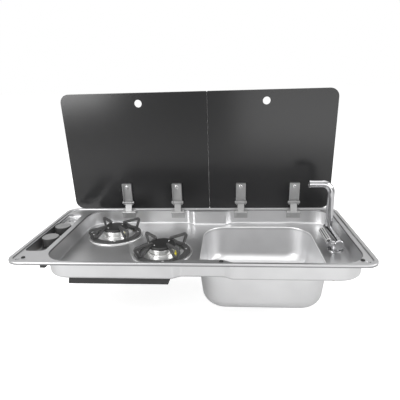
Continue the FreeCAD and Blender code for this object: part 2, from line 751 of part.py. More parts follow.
def hinge_arm(x):
    """Cranked arm from the pivot barrel up into the strap, with the cross pin through both."""
    half = ARM_THICK / 2
    back = arm_back()
    left = [(-half, 0), (back - half, ARM_BEND), (back - half, ARM_TOP)]
    right = [(back + half, ARM_TOP), (back + half, ARM_BEND), (half, 0)]
    arm = upright(left + right, x, ARM_WIDTH)
    eye = rod(V(x - ARM_WIDTH / 2, PIVOT_Y, PIVOT_Z), V(x + ARM_WIDTH / 2, PIVOT_Y, PIVOT_Z), BARREL_RADIUS)
    bore_start = V(x - ARM_WIDTH, PIVOT_Y, PIVOT_Z)
    bore_end = V(x + ARM_WIDTH, PIVOT_Y, PIVOT_Z)
    arm = arm.fuse(eye).cut(rod(bore_start, bore_end, PIVOT_RADIUS + RUNNING_FIT))
    y = PIVOT_Y + back
    z = PIVOT_Z + CROSS_PIN_RISE
    reach = STRAP_WIDTH / 2
    arm = arm.fuse(rod(V(x - reach, y, z), V(x + reach, y, z), CROSS_PIN_RADIUS))
    for side in (-1, 1):
        start = V(x + side * reach, y, z)
        arm = arm.fuse(rod(start, start + ALONG * (side * CROSS_HEAD_LENGTH), CROSS_HEAD))
    return leaned(arm)


def hinge_bracket(x):
    """Bracket riveted to the back wall with two cheeks and the pivot pin."""
    wall = RECESS_BACK - PIVOT_Y
    face = wall - BRACKET_PLATE
    plate = [(face, -BRACKET_DROP), (wall, -BRACKET_DROP), (wall, BRACKET_RISE), (face, BRACKET_RISE)]
    bracket = upright(plate, x, BRACKET_WIDTH)
    inner = ARM_WIDTH / 2 + CHEEK_GAP
    for side in (-1, 1):
        middle = x + side * (inner + CHEEK / 2)
        web = [(0, -BARREL_RADIUS), (wall, -BRACKET_DROP), (wall, BARREL_RADIUS), (0, BARREL_RADIUS)]
        bracket = bracket.fuse(upright(web, middle, CHEEK))
        start = V(middle - CHEEK / 2, PIVOT_Y, PIVOT_Z)
        bracket = bracket.fuse(rod(start, start + ALONG * CHEEK, BARREL_RADIUS))
        head = V(x + side * (inner + CHEEK), PIVOT_Y, PIVOT_Z)
        bracket = bracket.fuse(rod(head, head + ALONG * (side * PIVOT_HEAD_LENGTH), PIVOT_HEAD))
    reach = ALONG * (inner + CHEEK)
    middle = V(x, PIVOT_Y, PIVOT_Z)
    return bracket.fuse(rod(middle - reach, middle + reach, PIVOT_RADIUS))


def burner_pan(x, y):
    """Polished drip ring lying on the recess floor with a raised outer edge."""
    low = FLOOR
    top = FLOOR + PAN_RISE
    hole = NECK_RADIUS + NECK_FIT
    crest = PAN_RADIUS - PAN_EDGE
    foot = crest - PAN_SLOPE
    upper = [(hole, low + PAN_SHEET), (foot, low + PAN_SHEET), (crest, top), (PAN_RADIUS - PAN_SHEET, top)]
    lower = [(PAN_RADIUS, low), (crest + PAN_SHEET, low), (crest, top - PAN_SHEET), (foot, low), (hole, low)]
    return turned(upper + lower, x, y)


def burner_crown(x, y):
    """Slotted flame ring with its neck and mixing tube below the floor."""
    base = FLOOR + PAN_SHEET
    top = base + CROWN_HEIGHT
    foot = CAP_RADIUS - CROWN_FOOT_INSET
    waist = CROWN_RADIUS - CROWN_GROOVE_DEPTH
    step = base + CROWN_FOOT_HEIGHT
    profile = [(0, base), (foot, base), (foot, step), (waist, step), (waist, step + CROWN_GROOVE)]
    profile += [(CROWN_RADIUS, step + CROWN_GROOVE), (CROWN_RADIUS, top), (0, top)]
    body = turned(profile, x, y).fuse(pillar(x, y, FLOOR - NECK_DROP, base, NECK_RADIUS))
    start = V(x - NECK_RADIUS - VENTURI_RADIUS, y, PIPE_Z)
    body = body.fuse(rod(start, V(x, y, PIPE_Z), VENTURI_RADIUS))
    slot = Part.makeBox(CROWN_SLOT_DEPTH + OVER, CROWN_SLOT, CROWN_SLOT_HEIGHT)
    slot.translate(V(x + CROWN_RADIUS - CROWN_SLOT_DEPTH, y - CROWN_SLOT / 2, top - CROWN_SLOT_HEIGHT))
    slots = []
    for i in range(CROWN_SLOTS):
        copy = slot.copy()
        copy.rotate(V(x, y, 0), UP, 360 * i / CROWN_SLOTS)
        slots.append(copy)
    return body.cut(slots).cut(rod(start, start + ALONG * VENTURI_RADIUS, PIPE_RADIUS + RUNNING_FIT))


def burner_cap(x, y):
    """Black domed cap resting on the flame ring."""
    low = FLOOR + PAN_SHEET + CROWN_HEIGHT
    shoulder = low + CAP_EDGE
    top = shoulder + CAP_DOME
    profile = [(0, low), (CAP_RADIUS, low), (CAP_RADIUS, shoulder), (CAP_RADIUS - CAP_DOME, top), (0, top)]
    cap = turned(profile, x, y)
    return cap.makeFillet(CAP_DOME / 2, level_edges(cap, top))


def pan_support(x, y):
    """Enamelled pan support: a flat ring with loop ears standing on the diagonals."""
    low = FLOOR + PAN_RISE
    ring = pillar(x, y, low, low + SUPPORT_SHEET, SUPPORT_OUTER)
    ring = ring.cut(pillar(x, y, low - OVER, low + OVER, SUPPORT_INNER))
    pairs = [(EAR_FOOT_IN, low), (EAR_FOOT_OUT, low), (EAR_OUT, EAR_TOP), (EAR_IN, EAR_TOP)]
    points = [V(x + reach, y - EAR_THICK / 2, z) for reach, z in pairs]
    foot = min(EAR_TIP, (EAR_FOOT_OUT - EAR_FOOT_IN) * CORNER_SHARE)
    outline = Part.Face(rounded(points, [foot, foot, EAR_RADIUS, EAR_TIP]))
    ear = outline.extrude(BACK * EAR_THICK)
    window = Part.Face(outline.makeOffset2D(-EAR_BAR).OuterWire)
    window.translate(BACK * -OVER)
    ear = ear.cut(window.extrude(BACK * OVER * 3))
    ears = []
    for i in range(EARS):
        copy = ear.copy()
        copy.rotate(V(x, y, 0), UP, EAR_TURN + 360 * i / EARS)
        ears.append(copy)
    return ring.fuse(ears)


def support_screws(x, y):
    """Small dome screws that hold the pan support to the pan."""
    low = FLOOR + PAN_RISE + SUPPORT_SHEET
    heads = []
    for i in range(EARS):
        angle = SUPPORT_SCREW_TURN + 360 * i / EARS
        px, py = spread(x, y, (SUPPORT_OUTER + SUPPORT_INNER) / 2, angle)
        head = pillar(px, py, low, low + SUPPORT_SCREW_HEIGHT, SUPPORT_SCREW_RADIUS)
        heads.append(head.makeFillet(SUPPORT_SCREW_HEIGHT / 2, level_edges(head, low + SUPPORT_SCREW_HEIGHT)))
    return Part.makeCompound(heads)


def thermocouple(x, y):
    """Brass flame sensor standing on the pan beside the flame ring."""
    low = FLOOR + PAN_SHEET
    px, py = spread(x, y, PROBE_REACH, PROBE_TURN)
    probe = pillar(px, py, low, low + PROBE_HEIGHT, PROBE_RADIUS)
    probe = probe.makeFillet(PROBE_RADIUS / 2, level_edges(probe, low + PROBE_HEIGHT))
    return probe.fuse(pillar(px, py, low, low + PROBE_COLLAR_HEIGHT, PROBE_COLLAR))


def igniter(x, y):
    """Ceramic spark igniter with its steel tip."""
    low = FLOOR + PAN_SHEET
    px, py = spread(x, y, PROBE_REACH, IGNITER_TURN)
    rod_top = low + PROBE_HEIGHT - IGNITER_TIP_HEIGHT
    body = pillar(px, py, low, rod_top, PROBE_RADIUS)
    return body.fuse(pillar(px, py, rod_top, low + PROBE_HEIGHT, IGNITER_TIP))


def box_prism(inset, top):
    """Trough with slanted ends, as a prism along Y."""
    left = BOX_LEFT + inset
    right = BOX_RIGHT - inset
    low = BOX_BOTTOM + inset
    corners = [(left, top), (left - BOX_LIP, low), (right - BOX_SLANT, low), (right, top)]
    points = [V(px, BOX_FRONT + inset, pz) for px, pz in corners]
    length = BOX_BACK - BOX_FRONT - 2 * inset
    return Part.Face(Part.makePolygon(points + points[:1])).extrude(BACK * length)


def burner_box():
    """Black trough under the burners with holes for the two gas pipes."""
    trough = box_prism(0, FLOOR - SHEET).cut(box_prism(SHEET, FLOOR))
    for y in (REAR_BURNER_Y, FRONT_BURNER_Y):
        start = V(BOX_LEFT - BOX_LIP - OVER, y, PIPE_Z)
        trough = trough.cut(rod(start, start + ALONG * (BOX_LIP + OVER * 2), PIPE_RADIUS + NECK_FIT))
    return trough


def ignition_box():
    """Black spark unit fixed under the knob pocket."""
    corners = box_corners(IGNITION_LEFT, IGNITION_RIGHT, IGNITION_FRONT, IGNITION_BACK)
    return raised(flat(corners, IGNITION_EDGE, IGNITION_BOTTOM), POCKET_FLOOR - SHEET - IGNITION_BOTTOM)


def ignition_bracket():
    """Bent steel tab beside the spark unit."""
    back = IGNITION_FRONT + TAB_DEPTH
    level = raised(flat(box_corners(IGNITION_RIGHT, TAB_RIGHT, IGNITION_FRONT, back), 0, TAB_TOP), SHEET)
    corners = box_corners(TAB_RIGHT - SHEET, TAB_RIGHT, IGNITION_FRONT, back)
    return level.fuse(raised(flat(corners, 0, TAB_BOTTOM), TAB_TOP + SHEET - TAB_BOTTOM))


def valve_top():
    """Height where a valve meets the underside of the pocket."""
    return POCKET_FLOOR - SHEET


def gas_valve(y):
    """Square brass valve body with a bore for its stem."""
    half = VALVE_SIZE / 2
    low = valve_top() - VALVE_HEIGHT
    corners = box_corners(KNOB_X - half, KNOB_X + half, y - half, y + half)
    body = raised(flat(corners, half * CORNER_SHARE, low), VALVE_HEIGHT)
    bore_low = valve_top() - VALVE_HEIGHT * BORE_SHARE
    body = body.cut(pillar(KNOB_X, y, bore_low, valve_top() + OVER, STEM_RADIUS + RUNNING_FIT))
    port = V(KNOB_X + half - PIPE_RADIUS, y, PIPE_Z)
    return body.cut(rod(port, port + ALONG * VALVE_SIZE, PIPE_RADIUS + RUNNING_FIT))


def gas_rail():
    """Rail below the valves with the round inlet at its back end."""
    high = valve_top() - VALVE_HEIGHT
    half = RAIL_WIDTH / 2
    corners = box_corners(KNOB_X - half, KNOB_X + half, RAIL_FRONT, RAIL_BACK)
    rail = raised(flat(corners, half * CORNER_SHARE, high - RAIL_HEIGHT), RAIL_HEIGHT)
    z = high - RAIL_HEIGHT / 2
    return rail.fuse(rod(V(KNOB_X, RAIL_BACK - OVER, z), V(KNOB_X, INLET_BACK, z), INLET_RADIUS))


def pipe_start(y):
    """Point where a gas pipe enters its valve."""
    return V(KNOB_X + VALVE_SIZE / 2 - PIPE_RADIUS, y, PIPE_Z)


def gas_pipe(knob_y, x, y):
    """Gas pipe from a valve to the mixing tube of its burner."""
    end = V(x - NECK_RADIUS, y, PIPE_Z)
    path = [pipe_start(knob_y), V(PIPE_TURN_X, knob_y, PIPE_Z), V(PIPE_RISE_X, y, PIPE_Z), end]
    if abs(knob_y - y) < NEAR:
        return rod(pipe_start(knob_y), end, PIPE_RADIUS)
    return piped(path, PIPE_BEND, PIPE_RADIUS, 0)


def valve_stem(y):
    """Push-and-turn stem of a valve."""
    low = valve_top() - VALVE_HEIGHT * BORE_SHARE + PUSH_TRAVEL + CHEEK_GAP
    return pillar(KNOB_X, y, low, STEM_TOP, STEM_RADIUS)


def knob(y):
    """Tapered knob with a flat top, bored for its stem."""
    body = Part.makeCone(KNOB_RADIUS, KNOB_TOP_RADIUS, KNOB_TOP - KNOB_BOTTOM, V(KNOB_X, y, KNOB_BOTTOM), UP)
    body = body.makeFillet(KNOB_EDGE, level_edges(body, KNOB_TOP))
    return body.cut(pillar(KNOB_X, y, KNOB_BOTTOM - OVER, STEM_TOP, STEM_RADIUS + RUNNING_FIT))


def tap_body():
    """Tap base with rosette, column, level barrel and the stub that carries the grip."""
    rosette = pillar(TAP_X, TAP_Y, FLOOR, FLOOR + TAP_ROSETTE_HEIGHT, TAP_ROSETTE)
    rosette = rosette.makeFillet(TAP_ROSETTE_HEIGHT / 2, level_edges(rosette, FLOOR + TAP_ROSETTE_HEIGHT))
    column = pillar(TAP_X, TAP_Y, FLOOR, TAP_AXIS_Z, TAP_COLUMN)
    barrel = rod(V(TAP_X, TAP_FRONT, TAP_AXIS_Z), V(TAP_X, COLLAR_START - COLLAR_GAP, TAP_AXIS_Z), TAP_BARREL)
    ends = [e for e in barrel.Edges if abs(e.BoundBox.YMax - TAP_FRONT) < NEAR]
    barrel = barrel.makeFillet(TAP_ROSETTE_HEIGHT, ends)
    spigot_end = COLLAR_START + SPIGOT_LENGTH
    spigot = rod(V(TAP_X, TAP_Y, TAP_AXIS_Z), V(TAP_X, spigot_end, TAP_AXIS_Z), SPIGOT_RADIUS)
    stub_end = V(GRIP_X, GRIP_START - COLLAR_GAP, GRIP_Z)
    stub = rod(V(GRIP_X, TAP_FRONT + TAP_ROSETTE_HEIGHT, GRIP_Z), stub_end, STUB_RADIUS)
    bridge_y = TAP_FRONT + STUB_RADIUS + TAP_ROSETTE_HEIGHT / 2
    bridge = rod(V(GRIP_X, bridge_y, GRIP_Z), V(TAP_X, bridge_y, TAP_AXIS_Z), STUB_RADIUS)
    pin = rod(V(GRIP_X, bridge_y, GRIP_Z), V(GRIP_X, GRIP_START + STUB_DEPTH, GRIP_Z), STUB_PIN)
    shank = pillar(TAP_X, TAP_Y, SHANK_BOTTOM, FLOOR, SHANK_RADIUS)
    return rosette.fuse([column, barrel, spigot, stub, pin, bridge, shank])


def tap_grip():
    """Ribbed dark grip that turns on the stub to open the water."""
    grip = rod(V(GRIP_X, GRIP_START, GRIP_Z), V(GRIP_X, GRIP_END, GRIP_Z), GRIP_RADIUS)
    grooves = []
    for i in range(GRIP_RIBS):
        dx, dz = spread(0, 0, GRIP_RADIUS, 360 * i / GRIP_RIBS)
        start = V(GRIP_X + dx, GRIP_START + GRIP_RIB * 2, GRIP_Z + dz)
        grooves.append(rod(start, start + BACK * (GRIP_END - GRIP_START - GRIP_RIB * 4), GRIP_RIB))
    socket_end = GRIP_START + STUB_DEPTH + CHEEK_GAP
    socket = rod(V(GRIP_X, GRIP_START - OVER, GRIP_Z), V(GRIP_X, socket_end, GRIP_Z), STUB_PIN + RUNNING_FIT)
    return grip.cut(grooves).cut(socket)


def spout_path():
    """Points of the spout from its collar up and over to the left."""
    y = (COLLAR_START + COLLAR_END) / 2
    top = TAP_AXIS_Z + SPOUT_RISE - SPOUT_RADIUS
    base = V(TAP_X, y, TAP_AXIS_Z)
    return [base, V(TAP_X, y, top), V(TAP_X - SPOUT_REACH, y, top)]


def tap_spout():
    """Folding spout: a collar that turns on the barrel, and the bent tube."""
    collar = rod(V(TAP_X, COLLAR_START, TAP_AXIS_Z), V(TAP_X, COLLAR_END, TAP_AXIS_Z), TAP_BARREL)
    ends = [e for e in collar.Edges if abs(e.BoundBox.YMin - COLLAR_END) < NEAR]
    collar = collar.makeFillet(COLLAR_FLAT, ends)
    tube = piped(spout_path(), SPOUT_BEND, SPOUT_RADIUS, 0)
    water = piped(spout_path(), SPOUT_BEND, SPOUT_RADIUS - SPOUT_WALL, 0)
    spout = collar.fuse(tube).cut(water)
    socket_end = COLLAR_START + SPIGOT_LENGTH + CHEEK_GAP
    start = V(TAP_X, COLLAR_START - OVER, TAP_AXIS_Z)
    return spout.cut(rod(start, V(TAP_X, socket_end, TAP_AXIS_Z), SPIGOT_RADIUS + RUNNING_FIT))


def tap_outlet():
    """Ring screwed on the end of the spout."""
    end = spout_path()[-1]
    ring = rod(end, end - ALONG * OUTLET_LENGTH, OUTLET_RADIUS)
    return ring.cut(rod(end + ALONG * OVER, end - ALONG * OVER * 2, SPOUT_RADIUS - SPOUT_WALL))


def tap_nut():
    """Round nut that clamps the tap from below the floor."""
    high = FLOOR - SHEET
    nut = pillar(TAP_X, TAP_Y, high - TAP_NUT_HEIGHT, high, TAP_NUT_RADIUS)
    return nut.cut(pillar(TAP_X, TAP_Y, high - OVER * 3, high + OVER, SHANK_RADIUS))


def tap_tails():
    """Two water tails below the tap shank."""
    tails = []
    for side in (-1, 1):
        tails.append(pillar(TAP_X, TAP_Y + side * TAIL_SPREAD, TAIL_BOTTOM, SHANK_BOTTOM, TAIL_RADIUS))
    return Part.makeCompound(tails)


def waste_flange():
    """Dished steel strainer in the sink floor with its neck through the hole."""
    x, y = waste_centre()
    top = BOWL_FLOOR + WASTE_RIM
    dip = BOWL_FLOOR - WASTE_DIP
    inner = WASTE_NECK - WASTE_WALL
    rim = [(WASTE_RADIUS, BOWL_FLOOR), (WASTE_RADIUS, top), (inner, top), (inner, dip), (0, dip)]
    low = BOWL_FLOOR - WASTE_NECK_DROP
    under = dip - WASTE_WALL
    neck = [(0, under), (inner, under), (inner, low), (WASTE_NECK, low), (WASTE_NECK, BOWL_FLOOR)]
    flange = turned(rim + neck, x, y)
    for i in range(WASTE_GRID_COUNT):
        px, py = spread(x, y, WASTE_GRID_REACH, 360 * i / WASTE_GRID_COUNT)
        flange = flange.cut(pillar(px, py, dip - OVER, dip + OVER, WASTE_GRID_RADIUS))
    return flange.cut(pillar(x, y, dip - OVER, dip + OVER, WASTE_GRID_RADIUS))


def waste_gasket():
    """Rubber washer under the sink floor."""
    x, y = waste_centre()
    high = BOWL_FLOOR - SHEET
    washer = pillar(x, y, high - GASKET, high, TAIL_CUP)
    return washer.cut(pillar(x, y, high - OVER * 2, high + OVER, WASTE_NECK))


def waste_tail():
    """Plastic waste cup screwed on the neck with the outlet tail below."""
    x, y = waste_centre()
    high = BOWL_FLOOR - SHEET - GASKET
    low = high - TAIL_CUP_DROP
    seat = BOWL_FLOOR - WASTE_NECK_DROP
    bore = WASTE_TAIL_RADIUS - WASTE_TAIL_WALL
    end = WASTE_TAIL_BOTTOM
    cup = [(WASTE_NECK, high), (TAIL_CUP, high), (TAIL_CUP, low)]
    cup.append((WASTE_NECK + WASTE_WALL, seat - WASTE_WALL))
    tail = [(WASTE_TAIL_RADIUS, seat - WASTE_WALL * 2), (WASTE_TAIL_RADIUS, end), (bore, end)]
    return turned(cup + tail + [(bore, seat), (WASTE_NECK, seat)], x, y)


def build_top():
    """The pressed top and what is fixed to it."""
    save(worktop_tray(), "worktop_tray")
    save(sink_bowl(), "sink_bowl")
    save(rim_seal(), "rim_seal")
    save(lid_bumpers(), "lid_bumpers")
    save(waste_flange(), "waste_flange")
    save(waste_gasket(), "waste_gasket")
    save(waste_tail(), "waste_tail")


def build_lids():
    """Both lids with their four hinges."""
    left = hinge_places(LEFT_LID_START, LEFT_LID_END, LEFT_HINGE_SHARES)
    right = hinge_places(RIGHT_LID_START, RIGHT_LID_END, RIGHT_HINGE_SHARES)
    save(lid_glass(LEFT_LID_START, LEFT_LID_END, LEFT_FINGER_X, left), "left_lid_glass")
    save(lid_glass(RIGHT_LID_END, RIGHT_LID_START, RIGHT_FINGER_X, right), "right_lid_glass")
    for number, x in enumerate(left + right, 1):
        save(hinge_strap(x), "hinge_strap_%d" % number)
        save(hinge_screw(x), "hinge_screw_%d" % number)
        save(hinge_arm(x), "hinge_arm_%d" % number)
        save(hinge_bracket(x), "hinge_bracket_%d" % number)


def build_burners():
    """Both burners and the gas parts below them."""
    for name, (x, y) in zip(("rear", "front"), burner_centres()):
        save(burner_pan(x, y), name + "_burner_pan")
        save(burner_crown(x, y), name + "_burner_crown")
        save(burner_cap(x, y), name + "_burner_cap")
        save(pan_support(x, y), name + "_pan_support")
        save(support_screws(x, y), name + "_support_screws")
        save(thermocouple(x, y), name + "_thermocouple")
        save(igniter(x, y), name + "_igniter")
    save(burner_box(), "burner_box")
    save(ignition_box(), "ignition_box")
    save(ignition_bracket(), "ignition_bracket")
    save(gas_rail(), "gas_rail")
    for name, y, centre in zip(("rear", "front"), (REAR_KNOB_Y, FRONT_KNOB_Y), burner_centres()):
        save(gas_valve(y), name + "_gas_valve")
        save(gas_pipe(y, centre[0], centre[1]), name + "_gas_pipe")
        save(valve_stem(y), name + "_valve_stem")
        save(knob(y), name + "_knob")


def build_tap():
    """The folding tap."""
    save(tap_body(), "tap_body")
    save(tap_grip(), "tap_grip")
    save(tap_spout(), "tap_spout")
    save(tap_outlet(), "tap_outlet")
    save(tap_nut(), "tap_nut")
    save(tap_tails(), "tap_tails")


build_top()
build_lids()
build_burners()
build_tap()
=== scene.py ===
import math

import bmesh
import bpy
import numpy as np
from mathutils import Matrix, Vector


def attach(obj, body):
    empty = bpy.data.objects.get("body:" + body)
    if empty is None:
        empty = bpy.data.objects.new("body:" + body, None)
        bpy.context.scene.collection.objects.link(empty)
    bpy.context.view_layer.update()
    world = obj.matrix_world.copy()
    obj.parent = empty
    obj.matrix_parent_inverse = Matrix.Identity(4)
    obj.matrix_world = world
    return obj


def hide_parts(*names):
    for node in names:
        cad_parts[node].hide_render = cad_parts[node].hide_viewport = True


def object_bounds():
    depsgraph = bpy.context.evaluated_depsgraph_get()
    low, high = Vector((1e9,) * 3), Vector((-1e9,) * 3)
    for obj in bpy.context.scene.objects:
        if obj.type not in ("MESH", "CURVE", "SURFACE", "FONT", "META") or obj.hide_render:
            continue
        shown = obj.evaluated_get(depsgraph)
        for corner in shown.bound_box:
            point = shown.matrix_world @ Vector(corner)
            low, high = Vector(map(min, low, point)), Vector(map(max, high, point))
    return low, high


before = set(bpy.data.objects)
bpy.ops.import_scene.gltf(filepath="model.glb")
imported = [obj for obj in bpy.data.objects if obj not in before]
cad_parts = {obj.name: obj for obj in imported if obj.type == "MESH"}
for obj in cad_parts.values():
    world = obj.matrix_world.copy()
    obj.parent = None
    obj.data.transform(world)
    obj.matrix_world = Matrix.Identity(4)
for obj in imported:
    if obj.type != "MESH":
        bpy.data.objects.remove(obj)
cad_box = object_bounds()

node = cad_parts


# Studio: a plain pale floor, four soft boxes and the photograph's viewpoint.
# The surround is pure white to the camera, and dimmer in the light it sheds and in what metal mirrors.
FLOOR_DROP = 0.004
FLOOR_REACH = 30.0
SURROUND_LIGHT = 0.5
SURROUND_GLEAM = 0.66
SURROUND_SEEN = 1.0
PAPER_TONE = 0.62
PAPER_ROUGH = 0.9
PAPER_GLOW = 0.72
PAPER_GLEAM = 0.08
floor_z = cad_box[0].z - FLOOR_DROP


def by_ray(tree, scattered, mirrored, seen):
    """Socket with one value for scattered light, one for mirror rays and one for camera and glass rays."""
    path = tree.nodes.new("ShaderNodeLightPath")
    mirror = tree.nodes.new("ShaderNodeMapRange")
    mirror.inputs["To Min"].default_value = scattered
    mirror.inputs["To Max"].default_value = mirrored
    tree.links.new(path.outputs["Is Glossy Ray"], mirror.inputs["Value"])
    clear = tree.nodes.new("ShaderNodeMath")
    clear.operation = "MAXIMUM"
    tree.links.new(path.outputs["Is Camera Ray"], clear.inputs[0])
    tree.links.new(path.outputs["Is Transmission Ray"], clear.inputs[1])
    level = tree.nodes.new("ShaderNodeMapRange")
    level.inputs["To Max"].default_value = seen
    tree.links.new(clear.outputs[0], level.inputs["Value"])
    tree.links.new(mirror.outputs[0], level.inputs["To Min"])
    return level.outputs[0]


world = bpy.data.worlds.new("studio_surround")
bpy.context.scene.world = world
world.use_nodes = True
backdrop = world.node_tree.nodes["Background"]
backdrop.inputs["Color"].default_value = (1, 1, 1, 1)
surround = by_ray(world.node_tree, SURROUND_LIGHT, SURROUND_GLEAM, SURROUND_SEEN)
world.node_tree.links.new(surround, backdrop.inputs["Strength"])


def soft_box(name, place, aim, width, height, power):
    """Rectangular lamp at a place, turned so that its face looks at the aim point."""
    lamp = bpy.data.lights.new(name, "AREA")
    lamp.shape = "RECTANGLE"
    lamp.size = width
    lamp.size_y = height
    lamp.energy = power
    holder = bpy.data.objects.new(name, lamp)
    bpy.context.scene.collection.objects.link(holder)
    away = Vector(aim) - Vector(place)
    holder.matrix_world = Matrix.Translation(place) @ away.to_track_quat("-Z", "Y").to_matrix().to_4x4()
    holder.visible_camera = False


soft_box("overhead_box", place=(-0.3, 0.2, 1.7), aim=(-0.1, 0.05, 0), width=4.2, height=3.0, power=48)
soft_box("left_box", place=(-0.95, -1.0, 0.34), aim=(-0.25, 0.15, 0.3), width=0.7, height=0.5, power=10)
soft_box("right_box", place=(0.55, -0.95, 0.06), aim=(0.3, 0.15, 0.15), width=0.85, height=0.44, power=2.2)
soft_box("side_box", place=(1.3, -0.35, 0.55), aim=(-0.3, 0.05, 0.0), width=0.8, height=0.6, power=7)

floor_mesh = bpy.data.meshes.new("studio_floor")
floor_corners = [(x * FLOOR_REACH, y * FLOOR_REACH, floor_z) for x, y in ((-1, -1), (1, -1), (1, 1), (-1, 1))]
floor_mesh.from_pydata(floor_corners, [], [(0, 1, 2, 3)])
floor = bpy.data.objects.new("studio_floor", floor_mesh)
bpy.context.scene.collection.objects.link(floor)
paper = bpy.data.materials.new("pale_paper")
paper.use_nodes = True
matte = paper.node_tree.nodes["Principled BSDF"]
matte.inputs["Base Color"].default_value = (PAPER_TONE, PAPER_TONE, PAPER_TONE, 1)
matte.inputs["Roughness"].default_value = PAPER_ROUGH
matte.inputs["Specular IOR Level"].default_value = 0.0
matte.inputs["Emission Color"].default_value = (1, 1, 1, 1)
glow = by_ray(paper.node_tree, 0.0, PAPER_GLEAM, PAPER_GLOW)
paper.node_tree.links.new(glow, matte.inputs["Emission Strength"])
floor_mesh.materials.append(paper)

EYE = (0.0913, -0.8749, 0.3527)
EYE_TURN = math.radians(-4.78)
EYE_DROP = math.radians(16.97)
EYE_ROLL = math.radians(-1.64)
FOCAL_PIXELS = 380.9
FRAME_PIXELS = 400
SENSOR = 36.0
SIGHT = 100
forward = math.cos(EYE_DROP)
ahead = Vector((math.sin(EYE_TURN) * forward, math.cos(EYE_TURN) * forward, -math.sin(EYE_DROP)))
across = Vector((math.cos(EYE_TURN), -math.sin(EYE_TURN), 0))
upward = across.cross(ahead)
right = across * math.cos(EYE_ROLL) + upward * math.sin(EYE_ROLL)
top = upward * math.cos(EYE_ROLL) - across * math.sin(EYE_ROLL)
eye_data = bpy.data.cameras.new("photo_view")
eye_data.sensor_width = SENSOR
eye_data.lens = SENSOR * FOCAL_PIXELS / FRAME_PIXELS
eye_data.clip_end = SIGHT
eye = bpy.data.objects.new("photo_view", eye_data)
bpy.context.scene.collection.objects.link(eye)
eye.matrix_world = Matrix((
    (right.x, top.x, -ahead.x, EYE[0]),
    (right.y, top.y, -ahead.y, EYE[1]),
    (right.z, top.z, -ahead.z, EYE[2]),
    (0, 0, 0, 1)))
bpy.context.scene.camera = eye
bpy.context.scene.view_settings.view_transform = "Standard"


# Pressed top: one satin stainless sheet, deep drawn, with a rolled rim, hob and sink recess and knob pocket.
# The grain runs along the unit; drawing and wiping leave faint clouds in the satin.
CREASE = math.radians(28)
JOIN = 2e-6
GRAIN_HEIGHT = 0.0002
RAMP_ENDS = (0.3, 0.7)
METAL_CLOUDS = (12, 12, 12)
TOP_STEEL = (0.65, 0.65, 0.655)
TOP_GRAIN = (60, 1100, 1100)
# Painted shade: the lower face of the rolled rim is darkened by height.
ROLLED_RIM_PAINTED_SHADE = (0.26, 0.26, 0.265)
ROLLED_RIM_SHADE_HEIGHTS = (0.0, 0.0026, 0.0006)
# Painted shade: the band above it, over the upper rim, is darkened by height.
BEAD_PAINTED_SHADE = (0.5, 0.5, 0.505)
BEAD_SHADE_HEIGHTS = (0.0038, 0.007, 0.0005)
# Painted highlight: a thin bright line at the lip, lightened by height.
LIP_PAINTED_HIGHLIGHT = (0.95, 0.95, 0.95)
LIP_HIGHLIGHT_HEIGHTS = (-0.0412, -0.0387, 0.0003)


def softened(angle):
    """Modifier group that joins loose triangles and shades them smooth below an edge angle."""
    group = bpy.data.node_groups.new("smooth_joined_faces", "GeometryNodeTree")
    group.interface.new_socket("Geometry", in_out="INPUT", socket_type="NodeSocketGeometry")
    group.interface.new_socket("Geometry", in_out="OUTPUT", socket_type="NodeSocketGeometry")
    start = group.nodes.new("NodeGroupInput")
    end = group.nodes.new("NodeGroupOutput")
    join = group.nodes.new("GeometryNodeMergeByDistance")
    join.inputs["Distance"].default_value = JOIN
    faces = group.nodes.new("GeometryNodeSetShadeSmooth")
    edges = group.nodes.new("GeometryNodeSetShadeSmooth")
    edges.domain = "EDGE"
    edges.inputs["Shade Smooth"].default_value = False
    corner = group.nodes.new("GeometryNodeInputMeshEdgeAngle")
    sharp = group.nodes.new("FunctionNodeCompare")
    sharp.operation = "GREATER_THAN"
    sharp.inputs[1].default_value = angle
    group.links.new(start.outputs[0], join.inputs["Geometry"])
    group.links.new(join.outputs[0], faces.inputs["Geometry"])
    group.links.new(faces.outputs[0], edges.inputs["Geometry"])
    group.links.new(corner.outputs["Unsigned Angle"], sharp.inputs[0])
    group.links.new(sharp.outputs[0], edges.inputs["Selection"])
    group.links.new(edges.outputs[0], end.inputs[0])
    return group


smooth_group = softened(CREASE)


def dress(names, material):
    """Give CAD nodes a material in their own slots; flat faces stay flat and curved ones shade smooth."""
    for name in names:
        node[name].material_slots[0].material = material
        soften = node[name].modifiers.new("smooth", "NODES")
        soften.node_group = smooth_group
        steady = node[name].modifiers.new("flat_faces_lead", "WEIGHTED_NORMAL")
        steady.keep_sharp = True


def noise_at(tree, scale, detail):
    """Noise in object coordinates with its own scale along each axis."""
    where = tree.nodes.new("ShaderNodeTexCoord")
    stretch = tree.nodes.new("ShaderNodeMapping")
    stretch.inputs["Scale"].default_value = scale
    noise = tree.nodes.new("ShaderNodeTexNoise")
    noise.inputs["Scale"].default_value = 1.0
    noise.inputs["Detail"].default_value = detail
    tree.links.new(where.outputs["Object"], stretch.inputs["Vector"])
    tree.links.new(stretch.outputs["Vector"], noise.inputs["Vector"])
    return noise.outputs["Fac"]


def between(tree, amount, low, high):
    """Spread a nought to one amount between two values."""
    spread = tree.nodes.new("ShaderNodeMapRange")
    spread.inputs["To Min"].default_value = low
    spread.inputs["To Max"].default_value = high
    tree.links.new(amount, spread.inputs["Value"])
    return spread.outputs[0]


def shades(tree, amount, dark, light):
    """Colour that runs from dark to light with the amount."""
    ramp = tree.nodes.new("ShaderNodeValToRGB")
    for stop, place, colour in zip(ramp.color_ramp.elements, RAMP_ENDS, (dark, light)):
        stop.position = place
        stop.color = (*colour, 1)
    tree.links.new(amount, ramp.inputs["Fac"])
    return ramp.outputs["Color"]


def lifted(tree, amount, strength):
    """Normal raised by the amount, as fine grain or moulding texture."""
    lift = tree.nodes.new("ShaderNodeBump")
    lift.inputs["Strength"].default_value = strength
    lift.inputs["Distance"].default_value = GRAIN_HEIGHT
    tree.links.new(amount, lift.inputs["Height"])
    return lift.outputs["Normal"]


